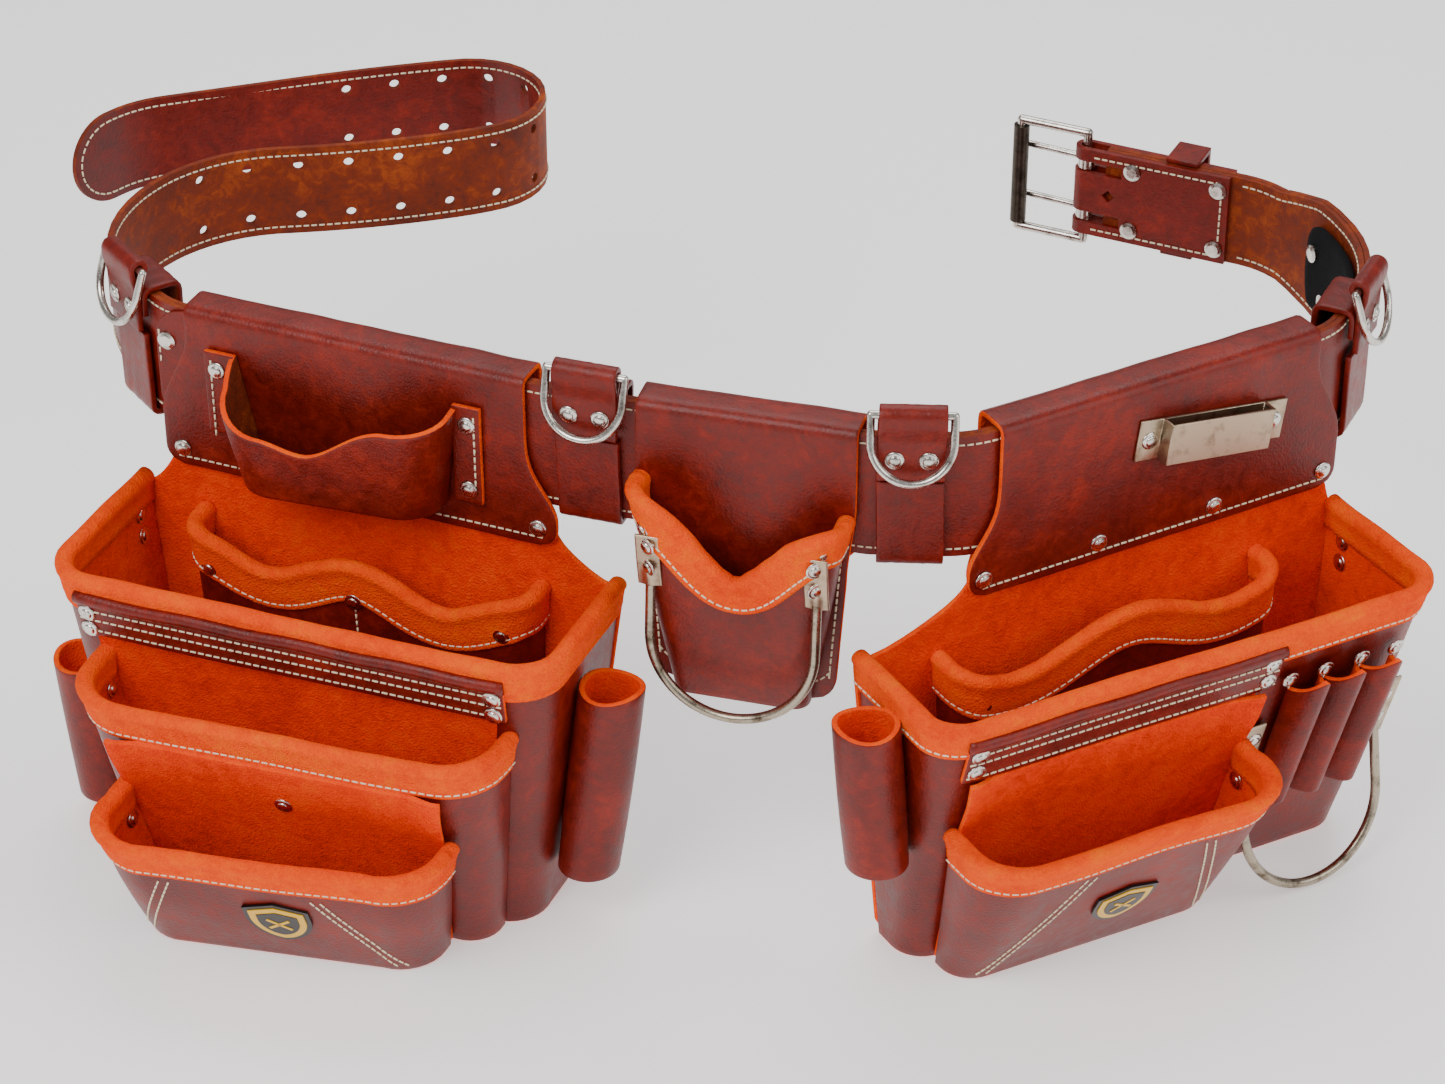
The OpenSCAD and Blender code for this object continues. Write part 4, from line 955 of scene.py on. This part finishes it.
def hammer_loop(name, pk, s, x0, n0, n1, z, body, tall):
    """A U of rod hanging from z, its foot n1 - n0 mm further out; tall is how far each tab reaches up."""
    half, leg, gap = 41, 30, 4.2
    pts = [(x0 - half, n0, z + 8), (x0 - half, n0, z)]
    for a in np.linspace(math.pi, 2 * math.pi, 48):
        down = leg - half * math.sin(a)
        pts.append((x0 + half * math.cos(a), mix(n0, n1, down / (leg + half)), z - down))
    pts += [(x0 + half, n0, z), (x0 + half, n0, z + 8)]
    C = place(s, resample(np.array(pts, float), 3.0))
    nrm = place(s, [(0, 1, 0)] * len(C)) - place(s, [(0, 0, 0)] * len(C))
    sweep(name, C, round_section(5, 16), nrm, body, [ROD], (name,))
    for i, d in enumerate((-1, 1)):
        x = x0 + d * half
        hump = lambda xx, zz: 1.6 * math.exp(-((xx - x) / 2.6) ** 2) * smooth((z + 12 - zz) / 10)
        P = np.array([[(xx, pk.front_n(x, zz) + gap + hump(xx, zz), zz)
                       for zz in np.linspace(z - 4, z + tall, 24)] for xx in np.linspace(x - 6, x + 6, 13)])
        sheet(f"{name}_tab_{i + 1}", place(s, P), body, 1.6, mats=(CLIP, CLIP, CLIP))


n = H_POCKET.front_n(0, 194) + 2.2
hammer_loop("holder_hammer_loop", H_POCKET, HOLDER, 0, n, n + 6, 194, "hammer_holder", 27)
n = R_MAIN.front_n(58.5, 76) + 3
hammer_loop("right_hammer_loop", R_MAIN, RIGHT_BAG, 58.5, n, n + 14, 76, "right_bag", 36)
rivets("holder_rivets", HOLDER, [on_face(H_POCKET, x, 222, 1.4) for x in (-44, 44)]
       + [on_face(H_POCKET, x, z, 4.2) for x in (-41, 41) for z in (202, 215)], "hammer_holder")

# ---- Tape clip ----
# A strip of brushed, nickel plated steel bent to a channel, with an ear at each end riveted to the right flap. Its
# face is plain.
remade("right_tape_clip", [CLIP], 0.5)

# ---- Badges ----
# A plain enamelled shield on each front pocket, black and yellow, with two crossed bars as its device, and a small
# yellow label in a black frame on the right bag's side.
YELLOW, _t, _b = material("yellow enamel")
_b.inputs["Base Color"].default_value = srgb("#e8b414")
_b.inputs["Roughness"].default_value = 0.3
BLACK, _t, _b = material("black enamel")
_b.inputs["Base Color"].default_value = srgb("#0c0b0a")
_b.inputs["Roughness"].default_value = 0.3

BOX = [[0, 1, 2, 3], [4, 5, 6, 7], [0, 1, 5, 4], [1, 2, 6, 5], [2, 3, 7, 6], [3, 0, 4, 7]]


def shield(name, pk, s, x, z, body, replaces=()):
    q, d = on_face(pk, x, z)
    d = np.array(d) / np.linalg.norm(d)
    ux = np.array([1, 0, 0]) - d * d[0]
    ux /= np.linalg.norm(ux)
    uz = np.cross(ux, d)
    uz = uz if uz[2] > 0 else -uz
    pts = [(17 * math.cos(a), 20 * math.sin(a) * (1 - 0.1 * abs(math.cos(a))) + 4)
           for a in np.linspace(math.pi, 2 * math.pi, 25)] + [(17, 12), (0, 17), (-17, 12)]
    for i, (sc, h0, h1, m) in enumerate(((1.0, 0.2, 1.5, BLACK), (0.84, 1.4, 2.0, YELLOW), (0.62, 1.9, 2.3, BLACK))):
        V = [np.array(q) + (ux * a + uz * b) * sc + d * h for h in (h0, h1) for a, b in pts]
        c = len(pts)
        F = [list(range(c)), list(range(c, 2 * c))] + [[j, (j + 1) % c, (j + 1) % c + c, j + c] for j in range(c)]
        bm_fix(mesh_object(f"{name}_{i}", place(s, V), F, [m], body, replaces if i == 0 else (), smooth=False))
    for i, t in enumerate((0.6, -0.6)):
        a = (math.cos(t), math.sin(t))
        cs = [(-7, -0.8), (7, -0.8), (7, 0.8), (-7, 0.8)]
        V = [np.array(q) + ux * (u * a[0] - v * a[1]) + uz * (u * a[1] + v * a[0]) + d * h
             for h in (2.2, 2.6) for u, v in cs]
        bm_fix(mesh_object(f"{name}_bar_{i}", place(s, V), BOX, [YELLOW], body, smooth=False))


shield("left_badge_plate", L_FRONT, LEFT_BAG, 22, 36, "left_bag", ("left_badge",))
shield("right_badge_plate", R_FRONT, RIGHT_BAG, -66, 44, "right_bag")
x = rm_at(128)[1] + 1.35
V = [(x + h, 46 + a, 128 + b) for h in (0, 0.5) for a, b in ((-5.4, -9), (5.4, -9), (5.4, 9), (-5.4, 9))]
bm_fix(mesh_object("right_side_badge", place(RIGHT_BAG, V), BOX, [YELLOW], "right_bag", smooth=False))
finish_node("right_badges", BLACK)

# ---- Stitches ----
# Lock stitches in waxed, two-ply cream thread. Each is a short rod lying in the leather, and they are set at an even
# pitch along every queued seam.
THREAD, _t, _b = material("waxed cream thread")
_b.inputs["Base Color"].default_value = srgb("#f4e6c4")
_b.inputs["Roughness"].default_value = 0.6
_w = node(_t, "ShaderNodeTexWave", (-500, -200), {"Scale": 700.0})
_bp = node(_t, "ShaderNodeBump", (-250, -200), {"Strength": 0.4, "Distance": 0.0002})
_tc = node(_t, "ShaderNodeTexCoord", (-700, -200))
_t.links.new(_tc.outputs["Object"], _w.inputs["Vector"])
_t.links.new(_w.outputs["Fac"], _bp.inputs["Height"])
_t.links.new(_bp.outputs["Normal"], _b.inputs["Normal"])


def stitch_tree():
    t = bpy.data.node_groups.new("lock stitches", "GeometryNodeTree")
    f = t.interface
    f.new_socket("Seams", in_out="INPUT", socket_type="NodeSocketGeometry")
    for nm, v in (("Pitch", 0.0042), ("Length", 0.0030), ("Thread", 0.0005)):
        s = f.new_socket(nm, in_out="INPUT", socket_type="NodeSocketFloat")
        s.default_value = v
    f.new_socket("Thread material", in_out="INPUT", socket_type="NodeSocketMaterial")
    f.new_socket("Geometry", in_out="OUTPUT", socket_type="NodeSocketGeometry")
    gi = node(t, "NodeGroupInput", (-800, 0))
    go = node(t, "NodeGroupOutput", (800, 0))
    cu = node(t, "GeometryNodeMeshToCurve", (-600, 0))
    rs = node(t, "GeometryNodeResampleCurve", (-400, 0), mode="LENGTH")
    tan = node(t, "GeometryNodeInputTangent", (-600, -250))
    al = node(t, "FunctionNodeAlignEulerToVector", (-400, -250), axis="Z")
    cyl = node(t, "GeometryNodeMeshCylinder", (-200, -400), {"Vertices": 6})
    ip = node(t, "GeometryNodeInstanceOnPoints", (0, 0))
    re = node(t, "GeometryNodeRealizeInstances", (250, 0))
    sm = node(t, "GeometryNodeSetMaterial", (500, 0))
    L = t.links.new
    L(gi.outputs["Seams"], cu.inputs["Mesh"])
    L(cu.outputs["Curve"], rs.inputs["Curve"])
    L(gi.outputs["Pitch"], rs.inputs["Length"])
    L(gi.outputs["Length"], cyl.inputs["Depth"])
    L(gi.outputs["Thread"], cyl.inputs["Radius"])
    L(tan.outputs["Tangent"], al.inputs["Vector"])
    L(rs.outputs["Curve"], ip.inputs["Points"])
    L(cyl.outputs["Mesh"], ip.inputs["Instance"])
    L(al.outputs["Rotation"], ip.inputs["Rotation"])
    L(ip.outputs["Instances"], re.inputs["Geometry"])
    L(re.outputs["Geometry"], sm.inputs["Geometry"])
    L(gi.outputs["Thread material"], sm.inputs["Material"])
    L(sm.outputs["Geometry"], go.inputs["Geometry"])
    return t


STITCHES = stitch_tree()


def sew():
    """Turns each body's queued seams into one mesh of stitches."""
    for body, lines in SEAMS.items():
        verts, edges = [], []
        for l in lines:
            k = len(verts)
            verts += [tuple(p) for p in l]
            edges += [(k + i, k + i + 1) for i in range(len(l) - 1)]
        me = bpy.data.meshes.new(f"stitching of {body}")
        me.from_pydata(verts, edges, [])
        o = bpy.data.objects.new(f"stitching_{body}", me)
        bpy.context.collection.objects.link(o)
        md = o.modifiers.new("stitches", "NODES")
        md.node_group = STITCHES
        for it in STITCHES.interface.items_tree:
            if it.name == "Thread material":
                md[it.identifier] = THREAD
        dg = bpy.context.evaluated_depsgraph_get()
        done = bpy.data.meshes.new_from_object(o.evaluated_get(dg))
        o.modifiers.clear()
        o.data = done
        done.materials.clear()
        done.materials.append(THREAD)
        done.polygons.foreach_set("material_index", [0] * len(done.polygons))
        done.polygons.foreach_set("use_smooth", [True] * len(done.polygons))
        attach(o, body)


sew()

# ---- Floor, light and camera ----
# A plain pale floor and three soft lamps; the camera looks 33 degrees down, straight on to the hammer holder.
bpy.ops.mesh.primitive_plane_add(size=12, location=(0, 0, -0.0005))
floor = bpy.context.object
FLOOR, _t, _b = material("pale floor")
_b.inputs["Base Color"].default_value = srgb("#fbfaf8")
_b.inputs["Roughness"].default_value = 0.8
_b.inputs["Emission Color"].default_value = (1, 1, 1, 1)
_b.inputs["Emission Strength"].default_value = 0.5
floor.data.materials.append(FLOOR)


def area(name, at, to, size, power, tint="#ffffff"):
    l = bpy.data.lights.new(name, "AREA")
    l.size, l.energy, l.color = size, power, srgb(tint)[:3]
    o = bpy.data.objects.new(name, l)
    bpy.context.collection.objects.link(o)
    o.location = at
    o.rotation_euler = (Vector(to) - Vector(at)).to_track_quat("-Z", "Y").to_euler()


area("key", (-0.9, -1.3, 1.7), (0, 0, 0.1), 1.2, 31)
area("fill", (1.5, -0.9, 1.2), (0, 0, 0.1), 1.4, 15)
area("top", (0.1, 0.9, 1.9), (0, 0, 0.1), 1.5, 20)
w = bpy.data.worlds.new("studio")
bpy.context.scene.world = w
w.use_nodes = True
w.node_tree.nodes["Background"].inputs["Color"].default_value = (1, 1, 1, 1)
w.node_tree.nodes["Background"].inputs["Strength"].default_value = 0.34

cam = bpy.data.objects.new("camera", bpy.data.cameras.new("camera"))
bpy.context.collection.objects.link(cam)
T = Vector((0.002, 0.0265, 0.100))
e, a = math.radians(33.1), math.radians(0.47)
cam.location = T + 2.045 * Vector((math.sin(a) * math.cos(e), -math.cos(a) * math.cos(e), math.sin(e)))
cam.rotation_euler = (T - cam.location).to_track_quat("-Z", "Y").to_euler()
cam.data.lens, cam.data.sensor_width = 96.3, 36
bpy.context.scene.camera = cam
